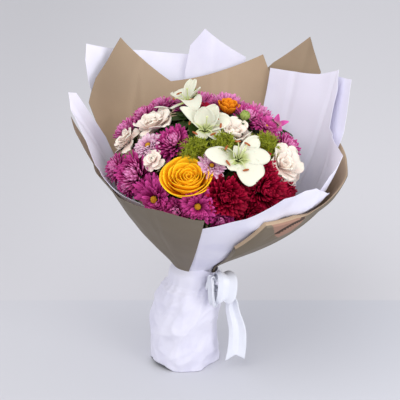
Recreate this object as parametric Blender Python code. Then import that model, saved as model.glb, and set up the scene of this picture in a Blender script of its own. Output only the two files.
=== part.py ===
"""A mixed flower bouquet that stands on its paper-wrapped foot.

Spray chrysanthemums, one garden rose, lilies, ruffled blooms and fern tufts
form a dome. Ten folded sheets of white and brown paper stand round it in a
funnel. A crumpled white sleeve covers the stems and a satin ribbon ties it.
"""
import math
import random

import bmesh
import bpy
from mathutils import Matrix, Vector

MM = 0.001
FLAT = math.radians(0.3)

# Dome of blooms, in millimetres.
DOME_CENTRE = Vector((26, 0, 252))
DOME_TILT = math.radians(15)
DOME_RADIUS = 126
DOME_HEIGHT = 93
CELL_GAP = 0.25
FULLNESS = 1.22
REACH = 1.22
WALL_GAP = 3.5

# Paper funnel, in millimetres.
NECK_Z = 128
RIM_Z = 300
NECK_RADIUS = 22
NECK_X = 14
LEAN = 12
RIM_RADII = (182, 160, 142, 152, 160, 159, 168, 198)
FLARES = (3.2, 2.2, 1.5, 0.8, 0.1, 0.25, 1.0, 2.2)
STARTS = (0.2, 0.05, 0.05, 0.05, 0.05, 0.06, 0.12, 0.28)
LAYER_STEP = 1.6
LAYER_SPREAD = 4.0
PAPER = 0.65
SHEET_FOOT_Z = 112
COLUMN_STEP = 16
FAN_Z = 148
LEVELS = (175, 215, 270)

# Stems, in millimetres.
STEM_RADIUS = 3.7
STEM_PITCH = 7.6
STEM_SIDES = 5
TAPE_RADIUS = 21.2
TAPE_LOW = 116
TAPE_HIGH = 126
TAPE_MIDDLE = (TAPE_LOW + TAPE_HIGH) / 2
FORK_Z = 168
FORK_SPREAD = 1.9
FOOT_SPREAD = 2.1
FOOT_SHIFT = Vector((3.5, 0, 0))
STEM_TWIST = math.radians(60)
FORK_TWIST = math.radians(-18)
PEDICEL_RADIUS = 1.6
PEDICEL_SIDES = 3
PEDICEL_END = 11
SEAT = 0.3

# Ribbon, in millimetres.
RIBBON = 1.0
RIBBON_WIDTH = 25
BAND_LOW = 113
BAND_HIGH = 125
BAND_RADIUS = 30.9

# Petal rings of each kind of flower. A ring holds the petal pattern, its
# foot (low, high, radius) and the stations (reach, height, spread, thickness)
# as shares of the bloom's radius. A last thickness of 0 is a fine edge.
MUM = {
    "cap": (0.16, 0.0),
    "rings": (
        ("all", 0.30, 0.40, 0.46, ((1.00, 0.50, 0.66, 0),)),
        ("all", 0.52, 0.61, 0.46, ((0.92, 0.84, 0.62, 0),)),
        ("all", 0.74, 0.82, 0.36, ((0.64, 1.08, 0.60, 0),)),
    ),
    "top": (0.20, 0.90),
}
ROSE = {
    "cap": (0.12, 0.0),
    "rings": (
        ("all", 0.22, 0.28, 0.42, ((0.86, 0.42, 0.94, 0.05), (1.00, 0.66, 0.70, 0))),
        ("all", 0.36, 0.42, 0.46, ((0.82, 0.60, 0.94, 0.05), (0.88, 0.86, 0.66, 0))),
        ("all", 0.50, 0.56, 0.42, ((0.68, 0.76, 0.94, 0.05), (0.66, 1.00, 0.66, 0))),
        ("all", 0.64, 0.70, 0.34, ((0.50, 0.88, 0.94, 0.05), (0.46, 1.08, 0.66, 0))),
        ("all", 0.78, 0.84, 0.20, ((0.30, 0.98, 0.92, 0.04), (0.26, 1.12, 0.60, 0))),
    ),
    "top": (0.08, 0.92),
}
LILY = {
    "cap": (0.08, 0.0),
    "rings": (
        ("even", 0.30, 0.36, 0.16, ((0.50, 0.62, 1.30, 0.04), (0.84, 0.70, 1.00, 0.03),
                                    (1.00, 0.56, 0.26, 0))),
        ("odd", 0.40, 0.46, 0.15, ((0.46, 0.76, 1.50, 0.04), (0.78, 0.90, 1.10, 0.03),
                                   (0.96, 0.82, 0.30, 0))),
        ("all", 0.50, 0.54, 0.10, ((0.28, 0.98, 0.16, 0.04), (0.36, 1.10, 0.40, 0))),
    ),
    "top": (0.05, 0.62),
}
RUFFLE = {
    "cap": (0.14, 0.0),
    "rings": (
        ("all", 0.30, 0.37, 0.36, ((0.80, 0.66, 0.90, 0.05), (1.00, 0.74, 0.70, 0))),
        ("all", 0.50, 0.57, 0.32, ((0.62, 0.92, 0.92, 0.05), (0.78, 1.10, 0.74, 0))),
        ("all", 0.70, 0.77, 0.20, ((0.34, 1.02, 0.92, 0.04), (0.40, 1.20, 0.70, 0))),
    ),
    "top": (0.08, 0.86),
}
STAR = {
    "cap": (0.12, 0.0),
    "rings": (
        ("even", 0.40, 0.48, 0.24, ((0.62, 0.74, 1.20, 0.06), (1.00, 0.92, 0.20, 0))),
        ("odd", 0.54, 0.62, 0.22, ((0.56, 0.90, 1.20, 0.06), (0.92, 1.14, 0.20, 0))),
        ("all", 0.68, 0.74, 0.14, ((0.26, 1.10, 0.30, 0),)),
    ),
    "top": (0.06, 0.84),
}
CUP = {
    "cap": (0.20, 0.0),
    "rings": (
        ("all", 0.24, 0.32, 0.52, ((0.86, 0.70, 0.86, 0.07), (0.96, 1.20, 0.36, 0))),
        ("all", 0.46, 0.54, 0.46, ((0.62, 0.90, 0.90, 0.07), (0.60, 1.34, 0.36, 0))),
        ("all", 0.70, 0.78, 0.26, ((0.32, 1.36, 0.50, 0),)),
    ),
    "top": (0.12, 0.90),
}
FERN = {
    "cap": (0.16, 0.0),
    "rings": (
        ("all", 0.20, 0.30, 0.30, ((1.00, 0.30, 0.20, 0),)),
        ("all", 0.40, 0.50, 0.34, ((0.98, 0.72, 0.20, 0),)),
        ("all", 0.60, 0.70, 0.30, ((0.78, 1.10, 0.24, 0),)),
        ("all", 0.78, 0.86, 0.20, ((0.44, 1.36, 0.30, 0),)),
    ),
    "top": (0.08, 0.94),
}

# Colour, roughness of each material.
COLOURS = {
    "petal_magenta": ((0.40, 0.025, 0.23), 0.7),
    "petal_pale_pink": ((0.62, 0.24, 0.45), 0.7),
    "petal_crimson": ((0.21, 0.004, 0.025), 0.7),
    "petal_rose": ((0.95, 0.42, 0.02), 0.6),
    "petal_orange": ((0.85, 0.25, 0.01), 0.6),
    "petal_white": ((0.82, 0.84, 0.68), 0.6),
    "petal_cream": ((0.84, 0.78, 0.72), 0.65),
    "petal_hot_pink": ((0.70, 0.07, 0.38), 0.65),
    "fern_green": ((0.14, 0.24, 0.015), 0.75),
    "bud_green": ((0.34, 0.42, 0.10), 0.7),
    "stem_green": ((0.09, 0.17, 0.02), 0.7),
    "paper_white": ((0.80, 0.79, 0.88), 0.75),
    "paper_brown": ((0.36, 0.26, 0.17), 0.7),
    "satin_white": ((0.82, 0.83, 0.90), 0.35),
}

# Blooms: name, shape, petals round, place on the dome (right, back), radius
# and lift above the dome in millimetres, material.
BLOOMS = (
    ("mum_01", MUM, 11, -63, -99, 25, 0, "petal_magenta"),
    ("mum_02", MUM, 10, -9, -116, 21, 0, "petal_magenta"),
    ("mum_03", MUM, 11, -92, -60, 26, 0, "petal_magenta"),
    ("mum_04", MUM, 8, -114, -29, 16, 0, "petal_magenta"),
    ("mum_05", MUM, 10, -39, -40, 22, 0, "petal_magenta"),
    ("mum_06", MUM, 8, -70, -37, 16, 0, "petal_pale_pink"),
    ("mum_07", MUM, 9, -103, 44, 20, 0, "petal_magenta"),
    ("mum_08", MUM, 8, -80, 53, 16, 0, "petal_magenta"),
    ("mum_09", MUM, 8, -58, 76, 17, 0, "petal_magenta"),
    ("mum_10", MUM, 9, 55, 15, 19, 0, "petal_magenta"),
    ("mum_11", MUM, 8, 76, 2, 16, 0, "petal_magenta"),
    ("mum_12", MUM, 9, 107, -5, 19, 0, "petal_magenta"),
    ("mum_13", MUM, 8, 8, -80, 15, 0, "petal_pale_pink"),
    ("mum_14", MUM, 8, -36, -115, 16, 0, "petal_magenta"),
    ("mum_15", MUM, 8, 20, -122, 14, -2, "petal_magenta"),
    ("mum_16", MUM, 8, -101, -64, 14, -4, "petal_magenta"),
    ("mum_17", MUM, 10, -16, 84, 26, -4, "petal_magenta"),
    ("mum_18", MUM, 10, 30, 96, 26, -4, "petal_magenta"),
    ("mum_19", MUM, 10, 74, 80, 26, -4, "petal_magenta"),
    ("crimson_1", MUM, 11, 25, -108, 28, 2, "petal_crimson"),
    ("crimson_2", MUM, 11, 76, -86, 28, 2, "petal_crimson"),
    ("crimson_3", MUM, 9, 67, -66, 20, 2, "petal_crimson"),
    ("crimson_4", MUM, 8, 48, -89, 16, 0, "petal_crimson"),
    ("crimson_5", MUM, 8, 102, -69, 17, 0, "petal_crimson"),
    ("crimson_6", MUM, 9, 56, -111, 18, 0, "petal_crimson"),
    ("crimson_7", MUM, 8, 2, 12, 15, 0, "petal_crimson"),
    ("garden_rose", ROSE, 6, -23, -92, 38, 6, "petal_rose"),
    ("orange_cup", CUP, 6, 29, 22, 14, 4, "petal_orange"),
    ("lily_1", LILY, 6, 0, -31, 35, 9, "petal_white"),
    ("lily_2", LILY, 6, 40, -68, 36, 9, "petal_white"),
    ("lily_3", LILY, 6, -27, 30, 30, 9, "petal_white"),
    ("ruffle_1", RUFFLE, 5, -67, 6, 22, 3, "petal_cream"),
    ("ruffle_2", RUFFLE, 5, 36, -26, 22, 3, "petal_cream"),
    ("ruffle_3", RUFFLE, 5, -101, 4, 16, 2, "petal_cream"),
    ("ruffle_4", RUFFLE, 5, -62, -62, 11, 4, "petal_cream"),
    ("ruffle_5", RUFFLE, 5, 99, -42, 22, 3, "petal_cream"),
    ("ruffle_6", RUFFLE, 5, -78, 92, 20, -4, "petal_cream"),
    ("star_flower", STAR, 6, 97, 41, 19, 11, "petal_hot_pink"),
    ("fern_1", FERN, 9, -12, -60, 17, 2, "fern_green"),
    ("fern_2", FERN, 9, 22, -52, 16, 2, "fern_green"),
    ("fern_3", FERN, 9, 73, -36, 17, 2, "fern_green"),
    ("bud_1", CUP, 5, -14, 50, 8, 8, "bud_green"),
    ("bud_2", CUP, 5, 47, -3, 9, 8, "bud_green"),
)

# Sheets: layer, neck span and top outline, as (angle, height) in degrees
# anticlockwise from the right and millimetres.
SHEETS = (
    ("paper_white_right", "paper_white", 0, (-36, 60),
     ((-38, 237), (-34, 262), (-33, 284), (-22, 297), (14, 298), (19, 345), (24, 367), (35, 354),
      (60, 350))),
    ("paper_white_left", "paper_white", 0, (153, 240),
     ((153, 280), (161, 341), (166, 345), (184, 290), (205, 270), (223, 254), (240, 246))),
    ("paper_brown_back", "paper_brown", 1, (55, 158),
     ((61, 344), (65, 366), (107, 331), (128, 392), (145, 350), (153, 325))),
    ("paper_white_far_right", "paper_white", 1, (10, 40),
     ((10, 300), (16, 361), (30, 356), (37, 350))),
    ("paper_white_front", "paper_white", 1, (235, 330),
     ((250, 230), (272, 235), (290, 251), (302, 279), (310, 278), (326, 240))),
    ("paper_brown_back_right", "paper_brown", 2, (35, 64),
     ((38, 355), (48, 394), (61, 356), (63, 349))),
    ("paper_white_back", "paper_white", 2, (72, 105),
     ((73, 361), (92, 397), (98, 376), (100, 344))),
    ("paper_brown_left", "paper_brown", 2, (160, 248),
     ((165, 320), (169, 303), (175, 268), (200, 260), (227, 257), (250, 262), (271, 255))),
    ("paper_white_back_left", "paper_white", 3, (96, 146),
     ((97, 364), (116, 372), (142, 393), (144, 374), (145, 350))),
)
FLAP_SHEET = ("paper_brown_right", "paper_brown", 2, (330, 380))
FLAP_RIM = ((291, 214), (297, 262), (310, 260), (320, 250), (333, 252), (348, 272), (376, 285))
FLAP_HEM = ((291, 200), (297, 222), (307, 238), (312, 252), (320, 244), (376, 282))
FLAP_LIFT = ((291, 2.2), (312, 2.0), (324, 0.7), (376, 0.6))


def lerp(pairs, x):
    """Height of a broken line at x."""
    if x <= pairs[0][0]:
        return pairs[0][1]
    for (x0, y0), (x1, y1) in zip(pairs, pairs[1:]):
        if x <= x1:
            return y0 + (y1 - y0) * (x - x0) / (x1 - x0)
    return pairs[-1][1]


def around(values, angle):
    """Smooth value at an angle of a table that goes once round."""
    step = 360 / len(values)
    turn = (angle % 360) / step
    i = int(turn)
    t = turn - i
    t = t * t * (3 - 2 * t)
    return values[i % len(values)] * (1 - t) + values[(i + 1) % len(values)] * t


def funnel_radius(angle, z):
    """Radius of the funnel's innermost layer."""
    u = (z - NECK_Z) / (RIM_Z - NECK_Z)
    if u <= 0:
        return NECK_RADIUS
    flare = around(FLARES, angle)
    w = u * u / (u + around(STARTS, angle))
    g = w * (1 + flare) / (1 + flare * w)
    return NECK_RADIUS + (around(RIM_RADII, angle) - NECK_RADIUS) * g


def funnel_x(z):
    """Place of the funnel's axis, which leans to the right."""
    return NECK_X + LEAN * (z - NECK_Z) / (RIM_Z - NECK_Z)


def funnel_point(angle, z, layer):
    """Point of one layer of the funnel, in millimetres."""
    r = funnel_radius(angle, z)
    slope = funnel_radius(angle, z + 0.5) - funnel_radius(angle, z - 0.5)
    norm = math.hypot(1, slope)
    u = max((z - NECK_Z) / (RIM_Z - NECK_Z), 0)
    step = layer * (LAYER_STEP + LAYER_SPREAD * u)
    rr = r + step / norm
    a = math.radians(angle)
    return Vector((funnel_x(z) + rr * math.cos(a), rr * math.sin(a), z - step * slope / norm))


def material(name):
    """Material of a slot, made once."""
    found = bpy.data.materials.get(name)
    if found:
        return found
    colour, roughness = COLOURS[name]
    made = bpy.data.materials.new(name)
    made.use_nodes = True
    shader = made.node_tree.nodes["Principled BSDF"]
    shader.inputs["Base Color"].default_value = (*colour, 1)
    shader.inputs["Roughness"].default_value = roughness
    shader.inputs["Metallic"].default_value = 0
    return made


def add_object(name, bm, slot, origin):
    """Turn a mesh in millimetres into a named object about its origin."""
    bmesh.ops.recalc_face_normals(bm, faces=bm.faces)
    bmesh.ops.triangulate(bm, faces=bm.faces)
    if bm.calc_volume(signed=True) < 0:
        bmesh.ops.reverse_faces(bm, faces=bm.faces)
    for v in bm.verts:
        v.co = (v.co - origin) * MM
    mesh = bpy.data.meshes.new(name)
    bm.to_mesh(mesh)
    bm.free()
    mesh.materials.append(material(slot))
    obj = bpy.data.objects.new(name, mesh)
    obj.location = origin * MM
    bpy.context.scene.collection.objects.link(obj)
    return obj


def dome_frame(bloom):
    """Foot, axis and cell centre of a bloom on the dome."""
    _, shape, _, right, back, radius, lift, _ = bloom
    radius *= FULLNESS
    share = (right * right + back * back) / DOME_RADIUS ** 2
    up = DOME_HEIGHT * math.sqrt(max(1 - share, 0.02))
    local = Vector((right, back, up))
    normal = Vector((right / DOME_RADIUS ** 2, back / DOME_RADIUS ** 2, up / DOME_HEIGHT ** 2))
    turn = Matrix.Rotation(DOME_TILT, 3, "X")
    axis = (turn @ normal).normalized()
    crown = shape["rings"][-1][4][-1][1] * radius
    foot = DOME_CENTRE + turn @ local + axis * (lift - crown * 0.9)
    return foot, axis, foot + axis * crown * 0.55


def bloom_cells():
    """Planes that keep each bloom clear of its neighbours."""
    frames = [dome_frame(b) for b in BLOOMS]
    cells = []
    for i, (_, _, centre) in enumerate(frames):
        planes = []
        for j, (_, _, other) in enumerate(frames):
            if i == j:
                continue
            away = other - centre
            far = away.length
            share = BLOOMS[i][5] / (BLOOMS[i][5] + BLOOMS[j][5])
            planes.append((away / far, far * share - CELL_GAP))
        cells.append(planes)
    return frames, cells


def inside(point, centre, planes):
    """Whether a point lies in its bloom's cell and inside the funnel."""
    away = point - centre
    if any(away.dot(n) > limit for n, limit in planes):
        return False
    dx = point.x - funnel_x(point.z)
    angle = math.degrees(math.atan2(point.y, dx))
    return math.hypot(dx, point.y) < funnel_radius(angle, point.z) - WALL_GAP


def pull_in(point, centre, planes):
    """Point drawn towards the centre of its cell until it is clear."""
    share = 1.0
    while share > 0.06 and not inside(centre.lerp(point, share), centre, planes):
        share *= 0.95
    return centre.lerp(point, share)


def petal_points(place, mid, half, base, stations, radius, reach):
    """Lower and upper corner pairs of one petal, drawn to its reach."""
    root_r, root_z = base
    rows = []
    last = (root_r, root_z)
    for rho, z, spread, thick in stations:
        at = (root_r + (rho - root_r) * reach, root_z + (z - root_z) * reach)
        run = Vector((at[0] - last[0], at[1] - last[1])).normalized()
        up = Vector((-run.y, run.x)) * thick / 2
        row = []
        for side in (-1, 1) if thick else (0,):
            r = at[0] + up.x * side
            h = at[1] + up.y * side
            row.append([place(mid + s * half * spread, r * radius, h * radius) for s in (-1, 1)])
        rows.append(row)
        last = at
    return rows


def bloom_body(bloom, frame, planes):
    """One bloom: a stepped core whose ring faces grow into petals."""
    name, shape, count, _, _, radius, _, slot = bloom
    radius *= FULLNESS
    foot, axis, centre = frame
    rng = random.Random(name)
    turn = axis.to_track_quat("Z", "Y").to_matrix()
    spin = rng.uniform(0, math.tau)
    step = math.tau / count
    bm = bmesh.new()

    def place(angle, r, z):
        local = Vector((r * math.cos(angle + spin), r * math.sin(angle + spin), z))
        return foot + turn @ local

    def ring(r, z, half_turns):
        points = [place((i + half_turns / 2) * step, r * radius, z * radius) for i in range(count)]
        return [bm.verts.new(pull_in(p, centre, planes)) for p in points]

    def band(low, high, shifted):
        for i in range(count):
            k = (i + 1) % count
            if shifted:
                bm.faces.new((low[i], low[k], high[i]))
                bm.faces.new((high[i], low[k], high[k]))
            else:
                bm.faces.new((low[i], low[k], high[k], high[i]))

    def petal(low, high, i, turns, base, stations):
        k = (i + 1) % count
        mid = (i + 0.5 + turns / 2) * step + rng.uniform(-0.06, 0.06) * step
        reach = REACH * rng.uniform(0.9, 1.0)
        while True:
            rows = petal_points(place, mid, step / 2, base, stations, radius, reach)
            if all(inside(p, centre, planes) for row in rows for pair in row for p in pair):
                break
            reach *= 0.9
            if reach < 0.12:
                bm.faces.new((low[i], low[k], high[k], high[i]))
                return
        under = (low[i], low[k])
        over = (high[i], high[k])
        for row in rows:
            made = [[bm.verts.new(p) for p in pair] for pair in row]
            new_under, new_over = made[0], made[-1]
            bm.faces.new((under[0], under[1], new_under[1], new_under[0]))
            bm.faces.new((over[1], over[0], new_over[0], new_over[1]))
            for s, order in ((0, 1), (1, -1)):
                corners = [over[s], under[s], new_under[s]]
                if len(made) == 2:
                    corners.append(new_over[s])
                bm.faces.new(corners[::order])
            under, over = new_under, new_over

    cap_r, cap_z = shape["cap"]
    below = ring(cap_r, cap_z, 0)
    bm.faces.new(below[::-1])
    for turns, (pattern, low_z, high_z, core, stations) in enumerate(shape["rings"]):
        low = ring(core, low_z, turns)
        high = ring(core, high_z, turns)
        band(below, low, turns > 0)
        for i in range(count):
            if pattern == "all" or (i % 2 == 0) == (pattern == "even"):
                petal(low, high, i, turns, (core, (low_z + high_z) / 2), stations)
            else:
                k = (i + 1) % count
                bm.faces.new((low[i], low[k], high[k], high[i]))
        below = high
    top_r, top_z = shape["top"]
    top = ring(top_r, top_z, len(shape["rings"]) - 1)
    band(below, top, False)
    bm.faces.new(top)
    return add_object(name, bm, slot, foot)


def tube(bm, points, radii, sides):
    """Closed tube of few sides along a bent line."""
    rings = []
    for i, p in enumerate(points):
        before = points[max(i - 1, 0)]
        after = points[min(i + 1, len(points) - 1)]
        along = (after - before).normalized()
        if i in (0, len(points) - 1) and abs(along.z) > 0.9 and radii[i] > PEDICEL_RADIUS * 1.5:
            along = Vector((0, 0, 1))
        right = along.cross(Vector((0.13, 1, 0.07))).normalized()
        front = along.cross(right)
        turns = [math.tau * k / sides for k in range(sides)]
        rings.append([bm.verts.new(p + (right * math.cos(t) + front * math.sin(t)) * radii[i])
                      for t in turns])
    for low, high in zip(rings, rings[1:]):
        for k in range(sides):
            n = (k + 1) % sides
            bm.faces.new((low[k], low[n], high[n], high[k]))
    bm.faces.new(rings[0][::-1])
    bm.faces.new(rings[-1])


def fuse(body, parts):
    """Join the parts to a body in one union and drop the flat seams."""
    others = bpy.data.collections.new("parts")
    bpy.context.scene.collection.children.link(others)
    for part in parts:
        bpy.context.scene.collection.objects.unlink(part)
        others.objects.link(part)
    union = body.modifiers.new("union", "BOOLEAN")
    union.operation = "UNION"
    union.operand_type = "COLLECTION"
    union.collection = others
    union.solver = "MANIFOLD"
    graph = bpy.context.evaluated_depsgraph_get()
    joined = bpy.data.meshes.new_from_object(body.evaluated_get(graph))
    body.modifiers.clear()
    slot = body.data.materials[0]
    body.data = joined
    for part in parts:
        bpy.data.objects.remove(part)
    bpy.data.collections.remove(others)
    bm = bmesh.new()
    bm.from_mesh(joined)
    bmesh.ops.dissolve_limit(bm, angle_limit=FLAT, verts=bm.verts, edges=bm.edges)
    bmesh.ops.triangulate(bm, faces=bm.faces)
    bm.to_mesh(joined)
    bm.free()
    joined.materials.clear()
    joined.materials.append(slot)
    return body


def hex_places():
    """Nineteen stem places in the neck, closely packed about the middle."""
    places = []
    for a in range(-2, 3):
        for b in range(-2, 3):
            if abs(a + b) <= 2:
                places.append(Vector(((a + b / 2) * STEM_PITCH, b * STEM_PITCH * 0.866, 0)))
    return sorted(places, key=lambda p: p.length)


def stem_parts(frames):
    """Stems that cross in the neck and fork to every bloom."""
    parts = []
    foot_turn = Matrix.Rotation(STEM_TWIST, 3, "Z")
    fork_turn = Matrix.Rotation(FORK_TWIST, 3, "Z")
    forks = []
    places = hex_places()
    for place in places:
        low = foot_turn @ place * FOOT_SPREAD + FOOT_SHIFT * place.length / places[-1].length
        neck = Vector((funnel_x(TAPE_MIDDLE), 0, TAPE_MIDDLE)) + place
        fork = Vector((funnel_x(FORK_Z), 0, FORK_Z)) + fork_turn @ place * FORK_SPREAD
        parts.append(((low, neck, fork), (STEM_RADIUS, STEM_RADIUS, STEM_RADIUS * 0.8), STEM_SIDES))
        forks.append(fork)
    hub = Vector((funnel_x(FORK_Z), 0, FORK_Z))
    for foot, axis, _ in frames:
        flat = Vector((foot.x - hub.x, foot.y - hub.y, 0)) * 0.34
        fork = min(forks, key=lambda f: (f - hub - flat).length)
        end = foot - axis * SEAT
        bend = foot - axis * PEDICEL_END
        down = (bend - fork).normalized()
        parts.append(((fork - down * 4, bend, end), (PEDICEL_RADIUS,) * 3, PEDICEL_SIDES))
    return parts


def stem_bundle(frames):
    """One body of all stems and the tape that binds them in the neck."""
    tape = bmesh.new()
    ends = [Vector((funnel_x(z), 0, z)) for z in (TAPE_LOW, TAPE_HIGH)]
    tube(tape, ends, (TAPE_RADIUS, TAPE_RADIUS), 16)
    body = add_object("stem_bundle", tape, "stem_green", Vector((0, 0, 0)))
    parts = []
    for i, (points, radii, sides) in enumerate(stem_parts(frames)):
        bm = bmesh.new()
        tube(bm, points, radii, sides)
        parts.append(add_object(f"stem_part_{i}", bm, "stem_green", Vector((0, 0, 0))))
    return fuse(body, parts)


def thick_grid(bm, rows, thickness, closed=False):
    """Closed body of even thickness about a grid of points."""
    count, length = len(rows), len(rows[0])

    def normal(i, j):
        if closed:
            a, b = rows[(i - 1) % count][j], rows[(i + 1) % count][j]
        else:
            a, b = rows[max(i - 1, 0)][j], rows[min(i + 1, count - 1)][j]
        c, d = rows[i][max(j - 1, 0)], rows[i][min(j + 1, length - 1)]
        return (b - a).cross(d - c).normalized()

    inner, outer = [], []
    for i in range(count):
        inner.append([bm.verts.new(rows[i][j] - normal(i, j) * thickness / 2) for j in range(length)])
        outer.append([bm.verts.new(rows[i][j] + normal(i, j) * thickness / 2) for j in range(length)])
    for i in range(count if closed else count - 1):
        k = (i + 1) % count
        for j in range(length - 1):
            for side, flip in ((inner, False), (outer, True)):
                a, b, c, d = side[i][j], side[k][j], side[k][j + 1], side[i][j + 1]
                for face in ((a, b, c), (a, c, d)):
                    bm.faces.new(face[::-1] if flip else face)
        for j in (0, length - 1):
            bm.faces.new((inner[i][j], inner[k][j], outer[k][j], outer[i][j]))
    if not closed:
        for i in (0, count - 1):
            for j in range(length - 1):
                bm.faces.new((inner[i][j], inner[i][j + 1], outer[i][j + 1], outer[i][j]))


def sheet_angles(outline):
    """Angles of a sheet's columns: its corners and steps between them."""
    marks = sorted({a for a, _ in outline})
    angles = []
    for a, b in zip(marks, marks[1:]):
        pieces = math.ceil((b - a) / COLUMN_STEP)
        angles += [a + (b - a) * i / pieces for i in range(pieces)]
    return angles + [marks[-1]]


def neck_angle(angle, z, outline, span, top):
    """Angle of a column at a height, so that a sheet's side edges run straight."""
    first, last = outline[0][0], outline[-1][0]
    share = (angle - first) / (last - first)
    low = span[0] + (span[1] - span[0]) * share
    if z <= NECK_Z:
        return low
    left = 1 - min((z - NECK_Z) / (top - NECK_Z), 1)
    return angle + (low - angle) * left * NECK_RADIUS / funnel_radius(angle, z)


def sheet_heights(top):
    """Heights of a column's rows, alike on every sheet near the neck."""
    rows = [min(level, FAN_Z + (top - FAN_Z) * (k + 1) / 4) for k, level in enumerate(LEVELS)]
    return [SHEET_FOOT_Z, NECK_Z, 135, FAN_Z] + rows + [top]


def sheet_body(sheet):
    """One paper sheet on its layer of the funnel."""
    name, slot, layer, span, outline = sheet
    rows = []
    for angle in sheet_angles(outline):
        top = lerp(outline, angle)
        heights = sheet_heights(top)
        rows.append([funnel_point(neck_angle(angle, z, outline, span, top), z, layer)
                     for z in heights])
    bm = bmesh.new()
    thick_grid(bm, rows, PAPER)
    middle = rows[len(rows) // 2][0].copy()
    return add_object(name, bm, slot, middle)


def flap_body():
    """Brown right sheet whose rim folds outwards and hangs as a flap."""
    name, slot, layer, span = FLAP_SHEET
    rows = []
    for angle in sheet_angles(FLAP_RIM + FLAP_HEM):
        top = lerp(FLAP_RIM, angle)
        hem = lerp(FLAP_HEM, angle)
        heights = sheet_heights(top)
        row = [funnel_point(neck_angle(angle, z, FLAP_RIM, span, top), z, layer) for z in heights]
        lift = lerp(FLAP_LIFT, angle)
        row.append(funnel_point(angle, top + 1.2, layer + lift * 0.4))
        row.append(funnel_point(angle, top, layer + lift * 0.8))
        row.append(funnel_point(angle, (top + hem) / 2, layer + lift))
        row.append(funnel_point(angle, hem, layer + lift * 1.1))
        rows.append(row)
    bm = bmesh.new()
    thick_grid(bm, rows, PAPER)
    return add_object(name, bm, slot, rows[4][0].copy())


# Sleeve rings: height, middle (right), radius and crumple, in millimetres.
SLEEVE_RINGS = (
    (0, 0, 43, 1.5),
    (26, -1, 43.5, 2.0),
    (58, 1, 43, 2.2),
    (86, 5, 41, 2.4),
    (103, 8, 37, 1.8),
    (110, 11, 31, 0.4),
    (113, 13, 28.8, 0),
    (126.8, 14, 28.8, 0),
)
SLEEVE_SIDES = 14
SLEEVE_WALL = 0.9
HEM_LIFT = ((0, 0), (180, 0), (202, 7), (236, 6), (252, 0), (360, 0))


def foot_sleeve():
    """Crumpled white paper sleeve round the stems, open below."""
    rng = random.Random("foot_sleeve")
    rows = []
    for i in range(SLEEVE_SIDES):
        a = math.tau * i / SLEEVE_SIDES
        row = []
        for z, x, radius, crumple in SLEEVE_RINGS:
            r = radius + (crumple * (1 if i % 2 else -1) * rng.uniform(0.3, 1))
            if z == SLEEVE_RINGS[0][0]:
                z += lerp(HEM_LIFT, math.degrees(a))
            row.append(Vector((x + r * math.cos(a), r * math.sin(a), z)))
        rows.append(row)
    bm = bmesh.new()
    thick_grid(bm, rows, SLEEVE_WALL, closed=True)
    for v in bm.verts:
        if v.co.z < SLEEVE_WALL / 2:
            v.co.z = 0
    return add_object("foot_sleeve", bm, "paper_white", Vector((0, 0, 0)))


def ribbon_band():
    """Gathered satin band round the neck."""
    rows = []
    sides = 18
    for i in range(sides):
        a = math.tau * i / sides
        row = []
        for z in (BAND_LOW + 1, BAND_HIGH - 1):
            row.append(Vector((NECK_X + BAND_RADIUS * math.cos(a), BAND_RADIUS * math.sin(a), z)))
        rows.append(row)
    bm = bmesh.new()
    thick_grid(bm, rows, RIBBON, closed=True)
    return add_object("ribbon_band", bm, "satin_white", Vector((NECK_X, 0, BAND_LOW)))


# Ribbon paths: (right, front, up) points of the middle line, width and the
# direction across the ribbon, in millimetres.
BIG_LOOP = (
    ((36, -32, 118), 9), ((48, -38, 124), 15), ((58, -39, 118), 20), ((62, -39, 106), 23),
    ((57, -41, 94), 24), ((47, -42, 93), 22), ((41, -40, 103), 16), ((35, -33, 115), 9),
)
SMALL_LOOP = (
    ((32, -33, 119), 8), ((31, -41, 112), 10), ((32, -45, 101), 12), ((35, -45, 93), 12),
    ((38, -42, 97), 11), ((37, -38, 108), 9), ((34, -33, 116), 7),
)
TAIL = (
    ((36, -32, 117), 9), ((50, -33, 102), 14), ((58, -35, 80), 22), ((62, -36, 56), 25),
    ((65, -37, 34), 25), ((64, -38, 14), 25),
)
RIBBON_RUNS = (
    (BIG_LOOP, (0.55, -0.8, 0.25)),
    (SMALL_LOOP, (0.9, -0.4, 0.1)),
    (TAIL, (1, 0.12, 0.04)),
)
NOTCH = 8
KNOT_SIZE = (13, 9, 13)
KNOT_PLACE = (33.1, -30.7, 118.5)


def ribbon_strip(path, across, thickness):
    """Strip of ribbon along a line, as a closed mesh."""
    rows = []
    for p, width in path:
        p = Vector(p)
        rows.append([p - across * width / 2, p.copy(), p + across * width / 2])
    if path is TAIL:
        rows[-1][1].z += NOTCH
    bm = bmesh.new()
    thick_grid(bm, rows, thickness)
    return bm


def ribbon_bow():
    """Knot with two loops and the hanging end, fused into one body."""
    knot = bmesh.new()
    bmesh.ops.create_icosphere(knot, subdivisions=1, radius=1)
    centre = Vector(KNOT_PLACE)
    for v in knot.verts:
        v.co = centre + Vector(v.co[i] * KNOT_SIZE[i] / 2 for i in range(3))
    body = add_object("ribbon_bow", knot, "satin_white", Vector((0, 0, 0)))
    runs = []
    for i, (path, across) in enumerate(RIBBON_RUNS):
        strip = ribbon_strip(path, Vector(across).normalized(), RIBBON)
        runs.append(add_object(f"ribbon_run_{i}", strip, "satin_white", Vector((0, 0, 0))))
    return fuse(body, runs)


def main():
    for old in list(bpy.data.objects):
        bpy.data.objects.remove(old)
    frames, cells = bloom_cells()
    for bloom, frame, planes in zip(BLOOMS, frames, cells):
        bloom_body(bloom, frame, planes)
    stem_bundle(frames)
    for sheet in SHEETS:
        sheet_body(sheet)
    flap_body()
    foot_sleeve()
    ribbon_band()
    ribbon_bow()


main()
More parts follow.
